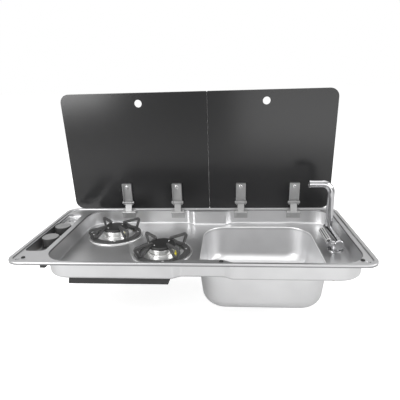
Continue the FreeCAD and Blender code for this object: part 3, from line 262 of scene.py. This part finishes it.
def metal(name, colour, rough, grain, spread, bump, tint=0.05):
    """Bare metal: grain stretched along the rubbing varies the gloss, and wide clouds vary the colour."""
    made_of = bpy.data.materials.new(name)
    made_of.use_nodes = True
    tree = made_of.node_tree
    shader = tree.nodes["Principled BSDF"]
    shader.inputs["Metallic"].default_value = 1.0
    fine = noise_at(tree, grain, 4.0)
    wide = noise_at(tree, METAL_CLOUDS, 2.0)
    dark = tuple(part * (1 - tint) for part in colour)
    light = tuple(min(1.0, part * (1 + tint)) for part in colour)
    tree.links.new(shades(tree, wide, dark, light), shader.inputs["Base Color"])
    tree.links.new(between(tree, fine, rough - spread, rough + spread), shader.inputs["Roughness"])
    tree.links.new(lifted(tree, fine, bump), shader.inputs["Normal"])
    return made_of


def height_step(tree, low, high):
    """Nought below the low height in object coordinates, one above the high one."""
    where = tree.nodes.new("ShaderNodeTexCoord")
    parts = tree.nodes.new("ShaderNodeSeparateXYZ")
    tree.links.new(where.outputs["Object"], parts.inputs[0])
    step = tree.nodes.new("ShaderNodeMapRange")
    step.inputs["From Min"].default_value = low
    step.inputs["From Max"].default_value = high
    tree.links.new(parts.outputs["Z"], step.inputs["Value"])
    return step.outputs[0]


def mixed(tree, amount, first, second):
    """Colour socket that turns from the first colour to the second with the amount."""
    mix = tree.nodes.new("ShaderNodeMix")
    mix.data_type = "RGBA"
    tree.links.new(amount, mix.inputs["Factor"])
    for socket, colour in (("A", first), ("B", second)):
        if isinstance(colour, tuple):
            mix.inputs[socket].default_value = (*colour, 1)
        else:
            tree.links.new(colour, mix.inputs[socket])
    return mix.outputs["Result"]


def paint_light_band(skin, colour, low, high, blend):
    """Paint light or shade into a band of heights: the band takes another tone of the sheet's colour."""
    tree = skin.node_tree
    shader = tree.nodes["Principled BSDF"]
    plain = shader.inputs["Base Color"].links[0].from_socket
    below = mixed(tree, height_step(tree, low - blend, low), plain, colour)
    whole = mixed(tree, height_step(tree, high, high + blend), below, plain)
    tree.links.new(whole, shader.inputs["Base Color"])


satin_steel = metal("satin_steel", TOP_STEEL, rough=0.37, grain=TOP_GRAIN, spread=0.05, bump=0.05)
# Painted light by height on the top: painted shade on the rolled rim bands and a painted highlight line at
# the lip.
paint_light_band(satin_steel, ROLLED_RIM_PAINTED_SHADE, *ROLLED_RIM_SHADE_HEIGHTS)
paint_light_band(satin_steel, BEAD_PAINTED_SHADE, *BEAD_SHADE_HEIGHTS)
paint_light_band(satin_steel, LIP_PAINTED_HIGHLIGHT, *LIP_HIGHLIGHT_HEIGHTS)
dress(["worktop_tray"], satin_steel)


# Sink bowl: deep drawn from the same satin sheet and welded under the top, walls drawn in towards the floor.
# The inside and the outside are one shell around the waste hole.
SINK_CENTRE = np.array([0.162, -0.001])
SINK_HALF = np.array([0.142, 0.141])
SINK_CORNER = 0.062
SHEET = 0.001
BOWL_PAINTED_LIGHTER_STEEL = (0.74, 0.74, 0.745)
BOWL_TOP = -0.046
BOWL_FLOOR = -0.134
BOWL_TAPER = 0.010
BOWL_FILLET = 0.030
WASTE_HOLE = 0.0225
FLOOR_INSET = 0.045
BOWL_STEPS = 14
DOUBLE = 1e-6
PIECE_CREASE = math.radians(32)


def filleted(corners, radii, steps, closed=False):
    """Line through corners, each but those of radius 0 made an arc that runs into both its sides."""
    corners = np.asarray(corners, float)
    count = len(corners)
    line = []
    for i in range(count):
        corner = corners[i]
        if radii[i] == 0 or (not closed and i in (0, count - 1)):
            line.append(corner[None])
            continue
        a = corners[i - 1] - corner
        b = corners[(i + 1) % count] - corner
        a = a / np.linalg.norm(a)
        b = b / np.linalg.norm(b)
        half = math.acos(np.clip(a @ b, -1, 1)) / 2
        middle = corner + (a + b) / np.linalg.norm(a + b) * radii[i] / math.sin(half)
        start = corner + a * radii[i] / math.tan(half) - middle
        end = corner + b * radii[i] / math.tan(half) - middle
        turn = math.pi - 2 * half
        share = np.linspace(0, 1, steps + 1)[:, None]
        arc = (np.sin((1 - share) * turn) * start + np.sin(share * turn) * end) / math.sin(turn)
        line.append(middle + arc)
    return np.concatenate(line)


def made(name, sheets, material, body, nodes=()):
    """Piece from grids of points: quads join neighbours, a round direction joins its end to its start,
    doubles are merged so that seams and poles close, and the faces are turned outwards."""
    corners = []
    quads = []
    start = 0
    for grid, round_u, round_v in sheets:
        rows, columns = grid.shape[:2]
        u = np.arange(rows if round_u else rows - 1)[:, None]
        v = np.arange(columns if round_v else columns - 1)[None, :]
        here = u * columns
        there = (u + 1) % rows * columns
        beside = (v + 1) % columns
        loop = np.stack([here + v, there + v, there + beside, here + beside], axis=-1)
        quads.append(start + loop.reshape(-1, 4))
        corners.append(grid.reshape(-1, 3))
        start += rows * columns
    mesh = bpy.data.meshes.new(name)
    mesh.from_pydata(np.concatenate(corners), [], np.concatenate(quads).tolist())
    shape = bmesh.new()
    shape.from_mesh(mesh)
    bmesh.ops.remove_doubles(shape, verts=shape.verts, dist=DOUBLE)
    bmesh.ops.recalc_face_normals(shape, faces=shape.faces)
    shape.to_mesh(mesh)
    shape.free()
    mesh.polygons.foreach_set("use_smooth", np.ones(len(mesh.polygons), bool))
    mesh.set_sharp_from_angle(angle=PIECE_CREASE)
    mesh.materials.append(material)
    thing = bpy.data.objects.new(name, mesh)
    bpy.context.scene.collection.objects.link(thing)
    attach(thing, body)
    if nodes:
        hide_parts(*nodes)


def sink_outline(inset):
    """Plan points of the sink drawn in by an inset: a rectangle whose corners round about fixed centres."""
    half = SINK_HALF - inset
    corners = [(half[0], half[1]), (-half[0], half[1]), (-half[0], -half[1]), (half[0], -half[1])]
    return SINK_CENTRE + filleted(corners, [SINK_CORNER - inset] * 4, BOWL_STEPS, True)


def bowl_wall(grow):
    """Rings down one side of the bowl: the outline drawn in along a tapered wall, a fillet and the floor."""
    low = BOWL_FLOOR - grow
    corners = [(-grow, BOWL_TOP), (BOWL_TAPER - grow, low), (FLOOR_INSET, low)]
    profile = filleted(corners, [0, BOWL_FILLET + grow, 0], BOWL_STEPS)
    plans = [sink_outline(inset) for inset in profile[:, 0]]
    spoke = plans[-1] - SINK_CENTRE
    plans.append(SINK_CENTRE + WASTE_HOLE * spoke / np.linalg.norm(spoke, axis=1)[:, None])
    heights = np.append(profile[:, 1], low)
    return np.stack([np.column_stack([plan, np.full(len(plan), z)]) for plan, z in zip(plans, heights)])


bowl = np.concatenate([bowl_wall(0.0), bowl_wall(SHEET)[::-1]])
# Painted light: the bowl is the same satin sheet as the top, but its colour is made lighter so that its
# outside reads bright.
lightened_bowl_steel = metal("lightened_bowl_steel", BOWL_PAINTED_LIGHTER_STEEL, rough=0.38, grain=TOP_GRAIN, spread=0.05, bump=0.05)
made("sink_bowl_shell", [(bowl, True, True)], lightened_bowl_steel, "base", ["sink_bowl"])


# Rubber parts of the top: the seal under the rolled rim, and the lid bumpers pressed into the flange.
# Matte black moulded rubber.
BUMPERS = np.array([(-0.357, -0.1535), (0.072, -0.16385), (0.357, -0.1535)])
BUMPER_LINE = np.array([(0, 3.0), (4.6, 3.0), (4.6, 3.6), (3.4, 5.2), (0, 5.6)]) / 1000
BUMPER_RADII = (0, 0, 0.0004, 0.0012, 0)
MOULD_TINT = 0.15
MOULD_SPREAD = 0.07
MOULD_CLOUDS = (25, 25, 25)


def moulded(name, colour, rough, scale, bump, shine):
    """Plastic, rubber or enamel: a fine noise lifts the skin, varies its gloss and shades its colour."""
    made_of = bpy.data.materials.new(name)
    made_of.use_nodes = True
    tree = made_of.node_tree
    shader = tree.nodes["Principled BSDF"]
    shader.inputs["Specular IOR Level"].default_value = shine
    fine = noise_at(tree, (scale, scale, scale), 3.0)
    wide = noise_at(tree, MOULD_CLOUDS, 2.0)
    dark = tuple(part * (1 - MOULD_TINT) for part in colour)
    light = tuple(part * (1 + MOULD_TINT) for part in colour)
    tree.links.new(shades(tree, wide, dark, light), shader.inputs["Base Color"])
    sheen = between(tree, fine, rough - MOULD_SPREAD, rough + MOULD_SPREAD)
    tree.links.new(sheen, shader.inputs["Roughness"])
    tree.links.new(lifted(tree, fine, bump), shader.inputs["Normal"])
    return made_of


black_rubber = moulded("black_rubber", (0.025, 0.025, 0.025), rough=0.7, scale=900, bump=0.2, shine=0.3)
dress(["rim_seal"], black_rubber)


def turned(line, centre, count=96):
    """Surface of revolution: each radius and height of the line is turned about an upright axis."""
    turn = np.linspace(0, 2 * np.pi, count, endpoint=False)
    ring = np.column_stack([np.cos(turn), np.sin(turn)])
    flat = centre + line[:, None, :1] * ring
    return np.concatenate([flat, np.repeat(line[:, None, 1:], count, 1)], axis=2)


bumper = filleted(BUMPER_LINE, BUMPER_RADII, 4)
bumper_sheets = [(turned(bumper, spot, 32), False, True) for spot in BUMPERS]
made("rubber_bumpers", bumper_sheets, black_rubber, "base", ["lid_bumpers"])


# Lids: two panes of smoked toughened glass with ground edges, rounded outer corners and a finger hole each.
# Seen from the front they are nearly black, with the room faintly in their faces.
PIVOT = np.array([0.1645, -0.003])
LEAN = math.radians(4)
GLASS_OFFSET = 0.0106
GLASS = 0.005
GLASS_RISE = 0.0092
GLASS_HEIGHT = 0.3281
GROUND = 0.0007
LID_CORNER = 0.023
SPLIT_CORNER = 0.003
FINGER = 0.010
FINGER_DROP = 0.028
PANE_SPOKES = 160
SIDE_STEPS = 400
WIPES = (5, 5, 9)
WIPE_TINT = 0.05
WIPE_SPREAD = 0.01
LIDS = {
    "left": (-0.365, 0.03085, LID_CORNER, SPLIT_CORNER, -0.1532),
    "right": (0.03115, 0.369, SPLIT_CORNER, LID_CORNER, 0.1862)}


def leaned(x, back, up):
    """Points measured along the unit, back and up from the hinge line, turned to the open lean."""
    y = PIVOT[0] + back * math.cos(LEAN) - up * math.sin(LEAN)
    z = PIVOT[1] + back * math.sin(LEAN) + up * math.cos(LEAN)
    return np.stack(np.broadcast_arrays(x, y, z), axis=-1)


def pane(start, end, start_corner, end_corner, finger_x):
    """Closed grid of a pane: spokes from finger hole to outline, then over the ground edges to the back."""
    high = GLASS_RISE + GLASS_HEIGHT
    corners = [(start, GLASS_RISE), (end, GLASS_RISE), (end, high), (start, high)]
    line = filleted(corners, [start_corner, end_corner, end_corner, start_corner], 12, True)
    middle = np.array([finger_x, high - FINGER_DROP])
    angle = np.unwrap(np.arctan2(*(line - middle).T[::-1]))
    even = angle[0] + np.arange(1, PANE_SPOKES) * 2 * np.pi / PANE_SPOKES
    spokes = np.sort(np.concatenate([angle, even]))
    looped = np.concatenate([line, line[:1]])
    share = np.linspace(0, 1, SIDE_STEPS)[:, None, None]
    dense = (looped[:-1] * (1 - share) + looped[1:] * share).transpose(1, 0, 2).reshape(-1, 2)
    dense_angle = np.unwrap(np.arctan2(*(dense - middle).T[::-1]))
    outer = np.column_stack([np.interp(spokes, dense_angle, part) for part in dense.T])
    ray = np.column_stack([np.cos(spokes), np.sin(spokes)])
    reach = np.linalg.norm(outer - middle, axis=1)[:, None]
    rings = [(FINGER + GROUND, 0, 0), (0, GROUND, 0), (0, 0, GROUND), (0, 0, GLASS - GROUND)]
    rings += [(0, GROUND, GLASS), (FINGER + GROUND, 0, GLASS)]
    rings += [(FINGER, 0, GLASS - GROUND), (FINGER, 0, GROUND)]
    grid = []
    for hole, inset, depth in rings:
        radius = hole if hole else reach - inset
        flat = middle + ray * radius
        grid.append(leaned(flat[:, 0], GLASS_OFFSET + depth, flat[:, 1]))
    return np.stack(grid)


def tinted(name, colour, rough, shine):
    """Dark tinted pane: wide, faint clouds of wiping vary the gloss and the tint a little."""
    made_of = bpy.data.materials.new(name)
    made_of.use_nodes = True
    tree = made_of.node_tree
    shader = tree.nodes["Principled BSDF"]
    shader.inputs["Specular IOR Level"].default_value = shine
    wipe = noise_at(tree, WIPES, 0.0)
    dark = tuple(part * (1 - WIPE_TINT) for part in colour)
    light = tuple(part * (1 + WIPE_TINT) for part in colour)
    tree.links.new(shades(tree, wipe, dark, light), shader.inputs["Base Color"])
    tree.links.new(between(tree, wipe, rough - WIPE_SPREAD, rough + WIPE_SPREAD), shader.inputs["Roughness"])
    return made_of


smoked_glass = tinted("smoked_glass", (0.0135, 0.0135, 0.014), rough=0.22, shine=0.45)
for side, outline in LIDS.items():
    sheets = [(pane(*outline), True, True)]
    made(side + "_lid_pane", sheets, smoked_glass, side + "_lid", [side + "_lid_glass"])


# Hinges: a channel strap screwed to the lid, a cranked arm on a cross pin, a bracket on the back wall.
# Satin steel, with a bright cross-head screw through the glass into a round nut.
HINGE_X = (-0.205865, -0.061196, 0.120731, 0.269418)
HINGE_LID = ("left_lid", "left_lid", "right_lid", "right_lid")
SCREW_UP = 0.0755
STRAP_WALL = 0.002
HEAD_RADIUS = 0.0045
HEAD_HEIGHT = 0.002
NUT_RADIUS = 0.006
NUT_HEIGHT = 0.002
CROSS = 0.0006
CROSS_REACH = 0.0027
CROSS_DEPTH = 0.0011
CROSS_BLEND = 0.0003
HEAD_TURNS = 96
NUT_TURNS = 48
STRAP_HALF = 0.0135
STRAP_LIP = 0.0026
STRAP_UP = (0.022, 0.086)
OUTER_BEND = STRAP_WALL * 0.6
INNER_BEND = STRAP_WALL * 0.5
COVER_BEND = STRAP_WALL * 0.2
LIP_DROP = STRAP_WALL * 0.3
COVER_DROP = STRAP_WALL * 0.1

hinge_steel = metal(
    "hinge_steel", (0.42, 0.42, 0.42), rough=0.44, grain=(900, 900, 80), spread=0.06, bump=0.05)
hinge_nodes = ["hinge_%s_%d" % (piece, number) for piece in ("arm", "bracket") for number in (1, 2, 3, 4)]
dress(hinge_nodes, hinge_steel)


def channel(x):
    """Grids of a strap: a folded ribbon with rounded lips up the glass, its end faces and a top cover."""
    lip = STRAP_LIP + LIP_DROP
    inner_half = STRAP_HALF - STRAP_WALL
    web = GLASS_OFFSET - STRAP_WALL
    folds = [(-STRAP_HALF, lip), (-STRAP_HALF, GLASS_OFFSET), (STRAP_HALF, GLASS_OFFSET), (STRAP_HALF, lip)]
    outer = filleted(folds, [0, OUTER_BEND, OUTER_BEND, 0], 5)
    folds = [(-inner_half, lip), (-inner_half, web), (inner_half, web), (inner_half, lip)]
    inner = filleted(folds, [0, INNER_BEND, INNER_BEND, 0], 5)
    crest = STRAP_HALF - STRAP_WALL / 2
    tips = np.array([[(-crest, STRAP_LIP)], [(crest, STRAP_LIP)]])
    loop = np.concatenate([outer, tips[1], inner[::-1], tips[0]])
    ends = np.array(STRAP_UP)[:, None]
    sheets = [(leaned(x + loop[:, 0], loop[:, 1], ends), False, True)]
    both = np.stack([np.concatenate([tips[0], fold, tips[1]]) for fold in (outer, inner)])
    for end in STRAP_UP:
        sheets.append((leaned(x + both[..., 0], both[..., 1], end), False, False))
    edge = [(-inner_half, lip), (inner_half, lip), (inner_half, web), (-inner_half, web)]
    cover = filleted(edge, [COVER_BEND] * 4, 3, True)
    middle = np.array([0, (lip + web) / 2])
    rings = np.stack([cover * 0 + middle, cover, cover, cover * 0 + middle])
    heights = np.array([STRAP_UP[1] - STRAP_WALL] * 2 + [STRAP_UP[1] - COVER_DROP] * 2)[:, None]
    sheets.append((leaned(x + rings[..., 0], rings[..., 1], heights), False, True))
    return sheets


for number, (x, lid) in enumerate(zip(HINGE_X, HINGE_LID), 1):
    strap = ["hinge_strap_%d" % number]
    made("strap_channel_%d" % number, channel(x), hinge_steel, lid, strap)
bright_steel = metal(
    "bright_steel", (0.78, 0.78, 0.78), rough=0.16, grain=(300, 300, 300), spread=0.04, bump=0.02)


def screw_head(radius, height):
    """Dome of radius and height over a polar grid, with a cross sunk where either flat distance is small."""
    r = np.concatenate([np.linspace(0, CROSS_REACH, 10), np.linspace(CROSS_REACH, radius, 10)[1:]])[:, None]
    turn = np.linspace(0, 2 * np.pi, HEAD_TURNS, endpoint=False)[None, :]
    x = r * np.cos(turn)
    z = r * np.sin(turn)
    dome = height * np.sqrt(np.clip(1 - 0.5 * (r / radius) ** 4, 0, 1)) * np.ones_like(turn)
    near = np.minimum(np.abs(x), np.abs(z))
    sunk = np.clip((CROSS - near) / CROSS_BLEND, 0, 1) * np.clip((CROSS_REACH - r) / CROSS_BLEND, 0, 1)
    lift = dome - CROSS_DEPTH * sunk
    rim = np.stack([x[-1], z[-1], np.zeros(HEAD_TURNS)], axis=-1)[None]
    foot = np.zeros((1, HEAD_TURNS, 3))
    return np.concatenate([np.stack([x, z, lift], axis=-1), rim, foot])


def round_nut(radius, height):
    """Chamfered round nut as a turned profile in the same local axes as the screw head."""
    line = filleted([(0, 0), (radius, 0), (radius, height), (0, height)], [0, 0, height / 3, 0], 4)
    turn = np.linspace(0, 2 * np.pi, NUT_TURNS, endpoint=False)
    rise = np.repeat(line[:, 1:], NUT_TURNS, 1)
    return np.stack([line[:, :1] * np.cos(turn), line[:, :1] * np.sin(turn), rise], axis=-1)


for number, (x, lid) in enumerate(zip(HINGE_X, HINGE_LID), 1):
    head = screw_head(HEAD_RADIUS, HEAD_HEIGHT)
    head = leaned(x + head[..., 0], GLASS_OFFSET - STRAP_WALL - head[..., 2], SCREW_UP + head[..., 1])
    nut = round_nut(NUT_RADIUS, NUT_HEIGHT)
    nut = leaned(x + nut[..., 0], GLASS_OFFSET + GLASS + nut[..., 2], SCREW_UP + nut[..., 1])
    sheets = [(head, False, True), (nut, False, True)]
    made("strap_screw_%d" % number, sheets, bright_steel, lid, ["hinge_screw_%d" % number])


# Burners: a polished drip pan on the recess floor, a slotted alloy crown, a black enamelled cap with rivets.
# All are turned about the burner's own upright axis, and fine flame slots are cut into the crown.
BURNERS = {"rear": np.array([-0.222, 0.078]), "front": np.array([-0.075, -0.034])}
PAN_LINE = [(18.5, -38), (18.5, -37), (62, -37), (67, -35), (70, -34.9), (73.2, -35.4), (74, -38)]
PAN_RADII = (0, 0.0003, 0.004, 0.003, 0.002, 0.0012, 0)
CROWN_LINE = [(0, -58), (18, -58), (18, -37), (33.5, -37), (33.5, -32.6), (32.8, -31.8)]
CROWN_LINE += [(28, -31.4), (28, -28.6), (32.2, -28.2), (32.9, -27.6), (32.4, -25.8), (32.3, -25.4)]
CROWN_LINE += [(31.4, -22), (31.3, -21.6), (30.6, -19.9), (30, -19.5), (0, -19.5)]
CROWN_SLOTS = 28
SLOT_HALF = 0.0006
SLOT_DEPTH = 0.002
SLOT_ROWS = (11, 12)
CAP_LINE = [(0, -19.5), (33, -19.5), (34, -18.6), (34, -16.2), (31.6, -13.3), (29, -12.8), (0, -12.5)]
CAP_RADII = (0, 0.0004, 0.0006, 0.002, 0.002, 0.002, 0)
RIVET_REACH = 0.021
RIVET_FOOT = -0.0127
RIVET_RISE = 0.0012
RIVET_RADIUS = 0.0021
RIVET_TURNS = (42.0, 222.0)


def crown(centre):
    """Turned crown whose radius is cut back inside each flame slot, on angles set at the slot edges."""
    line = np.array(CROWN_LINE) / 1000
    pitch = 2 * np.pi / CROWN_SLOTS
    half = SLOT_HALF / line[SLOT_ROWS[0], 0]
    local = np.array([-1.25 * half, -half, half, 1.25 * half, 0.35 * pitch, 0.5 * pitch, 0.65 * pitch])
    inside = np.array([0, 1, 1, 0, 0, 0, 0])
    turn = (np.arange(CROWN_SLOTS)[:, None] * pitch + local).ravel()
    cut = np.tile(inside, CROWN_SLOTS)
    radius = np.repeat(line[:, :1], len(turn), 1)
    for row in SLOT_ROWS:
        radius[row] = radius[row] - SLOT_DEPTH * cut
    flat = centre + np.stack([radius * np.cos(turn), radius * np.sin(turn)], axis=-1)
    return np.concatenate([flat, np.repeat(line[:, None, 1:], len(turn), 1)], axis=2)


pan_steel = metal(
    "pan_steel", (0.84, 0.84, 0.84), rough=0.32, grain=(150, 150, 150), spread=0.05, bump=0.02)
burner_alloy = metal(
    "burner_alloy", (0.84, 0.84, 0.83), rough=0.36, grain=(400, 400, 400), spread=0.05, bump=0.03)
black_enamel = moulded("black_enamel", (0.018, 0.018, 0.018), rough=0.42, scale=400, bump=0.05, shine=0.5)
for place, centre in BURNERS.items():
    line = filleted(np.array(PAN_LINE) / 1000, PAN_RADII, 5)
    closed = np.concatenate([line, line[:1]])
    made(place + "_drip_pan", [(turned(closed, centre), False, True)], pan_steel, "base",
         [place + "_burner_pan"])
    made(place + "_flame_crown", [(crown(centre), False, True)], burner_alloy, "base",
         [place + "_burner_crown"])
    line = filleted(np.array(CAP_LINE) / 1000, CAP_RADII, 5)
    made(place + "_flame_cap", [(turned(line, centre), False, True)], black_enamel, "base",
         [place + "_burner_cap"])
    heads = []
    for degrees in RIVET_TURNS:
        angle = math.radians(degrees)
        spot = centre + RIVET_REACH * np.array([math.cos(angle), math.sin(angle)])
        rise = np.linspace(0, np.pi / 2, 7)
        dome = np.column_stack([RIVET_RADIUS * np.cos(rise), RIVET_FOOT + RIVET_RISE * np.sin(rise)])
        heads.append((turned(np.concatenate([[(0, RIVET_FOOT)], dome]), spot, 24), False, True))
    made(place + "_cap_rivets", heads, bright_steel, "base")


# Pan supports: a flat steel ring on the drip pan with four bent bar loops welded on, charcoal enamelled.
# Small screws hold the ring down, and a sensor and a spark igniter stand beside each crown.
RING_LINE = [(53, -35), (53, -33), (68.6, -33), (68.6, -35)]
LOOP_LINE = [(54, -35), (67, -35), (80, -4), (16, -4)]
LOOP_RADII = (2.6, 2.6, 8.0, 2.6)
LOOP_BAR = 0.0068
LOOP_THICK = 0.005
LOOP_TURN = 42.0
LOOPS = 4
LOOP_BEND = 0.0008
BAR_EDGE = 0.001
RING_EDGE = 0.0005


def drawn_in(corners, distance):
    """Corners of a closed polygon, listed anticlockwise, with every side moved inwards by a distance."""
    corners = np.asarray(corners, float)
    along = np.roll(corners, -1, 0) - corners
    along = along / np.linalg.norm(along, axis=1)[:, None]
    inward = np.column_stack([-along[:, 1], along[:, 0]])
    before = np.roll(inward, 1, 0)
    return corners + distance * (before + inward) / (1 + np.sum(before * inward, axis=1))[:, None]


def carried(section, path, sideways):
    """Closed bar: a section's first value lies across the path in its plane, the second along the normal."""
    ahead = np.roll(path, -1, 0) - np.roll(path, 1, 0)
    ahead = ahead / np.linalg.norm(ahead, axis=1)[:, None]
    normal = np.cross(sideways, ahead)
    return path[:, None] + section[None, :, :1] * normal[:, None] + section[None, :, 1:] * sideways


half_bar = LOOP_BAR / 2
half_thick = LOOP_THICK / 2
bar_edges = [(x * half_bar, y * half_thick) for x, y in ((-1, -1), (1, -1), (1, 1), (-1, 1))]
bar_section = filleted(bar_edges, [BAR_EDGE] * 4, 3, True)
loop_path = drawn_in(np.array(LOOP_LINE) / 1000, half_bar)
loop_path = filleted(loop_path, [max(LOOP_BEND, radius / 1000 - half_bar) for radius in LOOP_RADII], 8, True)
grey_enamel = moulded("grey_enamel", (0.06, 0.06, 0.06), rough=0.42, scale=500, bump=0.08, shine=0.5)
brass_probe = metal(
    "brass_probe", (0.78, 0.7, 0.13), rough=0.3, grain=(300, 300, 300), spread=0.05, bump=0.03)
white_ceramic = moulded("white_ceramic", (0.7, 0.7, 0.67), rough=0.25, scale=300, bump=0.02, shine=0.5)
for place, centre in BURNERS.items():
    ring = filleted(np.array(RING_LINE) / 1000, [RING_EDGE] * 4, 3, True)
    sheets = [(turned(ring, centre), True, True)]
    for number in range(LOOPS):
        angle = math.radians(LOOP_TURN + 360 / LOOPS * number)
        out = np.array([math.cos(angle), math.sin(angle)])
        path = np.column_stack([centre + loop_path[:, :1] * out, loop_path[:, 1]])
        sheets.append((carried(bar_section, path, np.array([-out[1], out[0], 0])), True, True))
    made(place + "_support_loops", sheets, grey_enamel, "base", [place + "_pan_support"])
dress(["rear_thermocouple", "front_thermocouple"], brass_probe)
dress(["rear_igniter", "front_igniter"], white_ceramic)
dress(["rear_support_screws", "front_support_screws"], bright_steel)


# Gas parts below the top: burner box, ignition box with its tab, brass rail and valves, alloy pipes.
# Painted sheet, bright sheet, machined brass and bare drawn tube.
black_paint = moulded("black_paint", (0.02, 0.02, 0.02), rough=0.4, scale=250, bump=0.08, shine=0.5)
dress(["burner_box", "ignition_box"], black_paint)
dress(["ignition_bracket"], bright_steel)
valve_brass = metal(
    "valve_brass", (0.66, 0.5, 0.2), rough=0.3, grain=(300, 300, 300), spread=0.06, bump=0.05)
dress(["gas_rail", "rear_gas_valve", "front_gas_valve", "rear_valve_stem", "front_valve_stem"], valve_brass)
pipe_alloy = metal(
    "pipe_alloy", (0.62, 0.62, 0.62), rough=0.3, grain=(60, 600, 600), spread=0.06, bump=0.05)
dress(["rear_gas_pipe", "front_gas_pipe"], pipe_alloy)


# Knobs: moulded black push-and-turn knobs with a dished satin grey top.
# Each turns on a stem that pushes down through the pocket floor.
KNOBS = {"rear": np.array([-0.351, 0.040]), "front": np.array([-0.351, -0.034])}
KNOB_LINE = [(4.05, -5), (4.05, -17), (20.4, -17), (21, -16.4), (20, 2.6)]
KNOB_LINE += [(19, 3.5), (17.6, 3.5), (17.2, 3.1), (0, 3.1)]
KNOB_RADII = (0, 0, 0.0004, 0.0004, 0.0009, 0.0006, 0.0003, 0.0003, 0)
KNOB_SHADE = 0.0024
KNOB_BLEND = 0.0005
KNOB_GREYS = ((0.17, 0.17, 0.17), (0.22, 0.22, 0.22))


def knob_skin(name):
    """Black moulding whose top, above a set height in object coordinates, is satin grey."""
    skin = moulded(name, (0.03, 0.03, 0.03), rough=0.45, scale=700, bump=0.12, shine=0.5)
    tree = skin.node_tree
    shader = tree.nodes["Principled BSDF"]
    black = shader.inputs["Base Color"].links[0].from_socket
    grey = shades(tree, noise_at(tree, (90, 90, 90), 2.0), *KNOB_GREYS)
    above = height_step(tree, KNOB_SHADE, KNOB_SHADE + KNOB_BLEND)
    tree.links.new(mixed(tree, above, black, grey), shader.inputs["Base Color"])
    return skin


knob_plastic = knob_skin("knob_plastic")
for place, centre in KNOBS.items():
    line = filleted(np.array(KNOB_LINE) / 1000, KNOB_RADII, 4)
    line = np.concatenate([[(0, line[0, 1])], line])
    sheets = [(turned(line, centre), False, True)]
    made(place + "_knob_moulding", sheets, knob_plastic, place + "_knob", [place + "_knob"])


# Folding tap: chrome base and barrel, a bent spout that turns on the barrel, and a ribbed grip beside it.
# The brass nut and the copper tails are below the top.
GRIP_CENTRE = np.array([0.3222, -0.011])
GRIP_ENDS = (-0.027, 0.049)
GRIP_RADIUS = 0.0075
GRIP_RIBS = 8
GRIP_GROOVE = 0.0018
# Painted highlight: the rib crests of the black grip are painted light grey.
GRIP_RIB_HIGHLIGHT = (0.5, 0.5, 0.5)
GRIP_HIGHLIGHT_REACH = (GRIP_RADIUS - GRIP_GROOVE * 0.6, GRIP_RADIUS - GRIP_GROOVE * 0.3)
GRIP_STATIONS = np.array([0, 0, 0.0006, 0.004, 0.0048])
GRIP_REACH = np.array([0.45, 0.93, 1, 1, 1, 1, 1, 1, 0.93, 0])
GRIP_CUT = np.array([0, 0, 0, 0, 1, 1, 0, 0, 0, 0])


def ribbed_grip():
    """Round bar along Y whose radius dips by a rounded wave at each groove and closes to both ends."""
    turn = np.linspace(0, 2 * np.pi, GRIP_RIBS * 10, endpoint=False)
    wave = np.clip(1.5 - 1.8 * np.abs(np.sin(GRIP_RIBS * turn / 2)), 0, 1)
    stations = np.concatenate([GRIP_ENDS[0] + GRIP_STATIONS, GRIP_ENDS[1] - GRIP_STATIONS[::-1]])
    radius = GRIP_RADIUS * GRIP_REACH[:, None] - GRIP_GROOVE * GRIP_CUT[:, None] * wave
    x = GRIP_CENTRE[0] + radius * np.cos(turn)
    z = GRIP_CENTRE[1] + radius * np.sin(turn)
    y = np.repeat(stations[:, None], len(turn), 1)
    grid = np.stack([x, y, z], axis=-1)
    pole = grid[:1].copy()
    pole[..., 0] = GRIP_CENTRE[0]
    pole[..., 2] = GRIP_CENTRE[1]
    return np.concatenate([pole, grid])


tap_chrome = metal(
    "tap_chrome", (0.5, 0.5, 0.51), rough=0.08, grain=(100, 100, 100), spread=0.03, bump=0.01, tint=0.02)
dress(["tap_body", "tap_spout", "tap_outlet"], tap_chrome)


def rib_highlight_skin(name):
    """Black moulded grip with a painted highlight: the rib crests are painted light grey, told apart from the
    black grooves by the distance from the grip's own axis.
    """
    skin = moulded(name, (0.01, 0.01, 0.01), rough=0.3, scale=600, bump=0.05, shine=0.5)
    tree = skin.node_tree
    shader = tree.nodes["Principled BSDF"]
    where = tree.nodes.new("ShaderNodeTexCoord")
    flat = tree.nodes.new("ShaderNodeMapping")
    flat.inputs["Location"].default_value = (-GRIP_CENTRE[0], 0, -GRIP_CENTRE[1])
    flat.inputs["Scale"].default_value = (1, 0, 1)
    reach = tree.nodes.new("ShaderNodeVectorMath")
    reach.operation = "LENGTH"
    step = tree.nodes.new("ShaderNodeMapRange")
    step.inputs["From Min"].default_value = GRIP_HIGHLIGHT_REACH[0]
    step.inputs["From Max"].default_value = GRIP_HIGHLIGHT_REACH[1]
    tree.links.new(where.outputs["Object"], flat.inputs["Vector"])
    tree.links.new(flat.outputs["Vector"], reach.inputs[0])
    tree.links.new(reach.outputs["Value"], step.inputs["Value"])
    black = shader.inputs["Base Color"].links[0].from_socket
    tree.links.new(mixed(tree, step.outputs[0], black, GRIP_RIB_HIGHLIGHT), shader.inputs["Base Color"])
    return skin


grip_plastic = rib_highlight_skin("grip_plastic")
grip_sheets = [(ribbed_grip(), False, True)]
made("tap_ribbed_grip", grip_sheets, grip_plastic, "tap_grip", ["tap_grip"])
dress(["tap_nut"], valve_brass)
copper_tail = metal(
    "copper_tail", (0.5, 0.36, 0.26), rough=0.35, grain=(300, 300, 60), spread=0.06, bump=0.04)
dress(["tap_tails"], copper_tail)


# Waste: a dished strainer clamped through the bowl floor on a rubber gasket, plated like the tap.
# A grey moulded plastic tail is screwed on below, for the hose.
grey_plastic = moulded("grey_plastic", (0.4, 0.4, 0.4), rough=0.5, scale=500, bump=0.1, shine=0.4)
dress(["waste_tail"], grey_plastic)
dress(["waste_flange"], tap_chrome)
dress(["waste_gasket"], black_rubber)
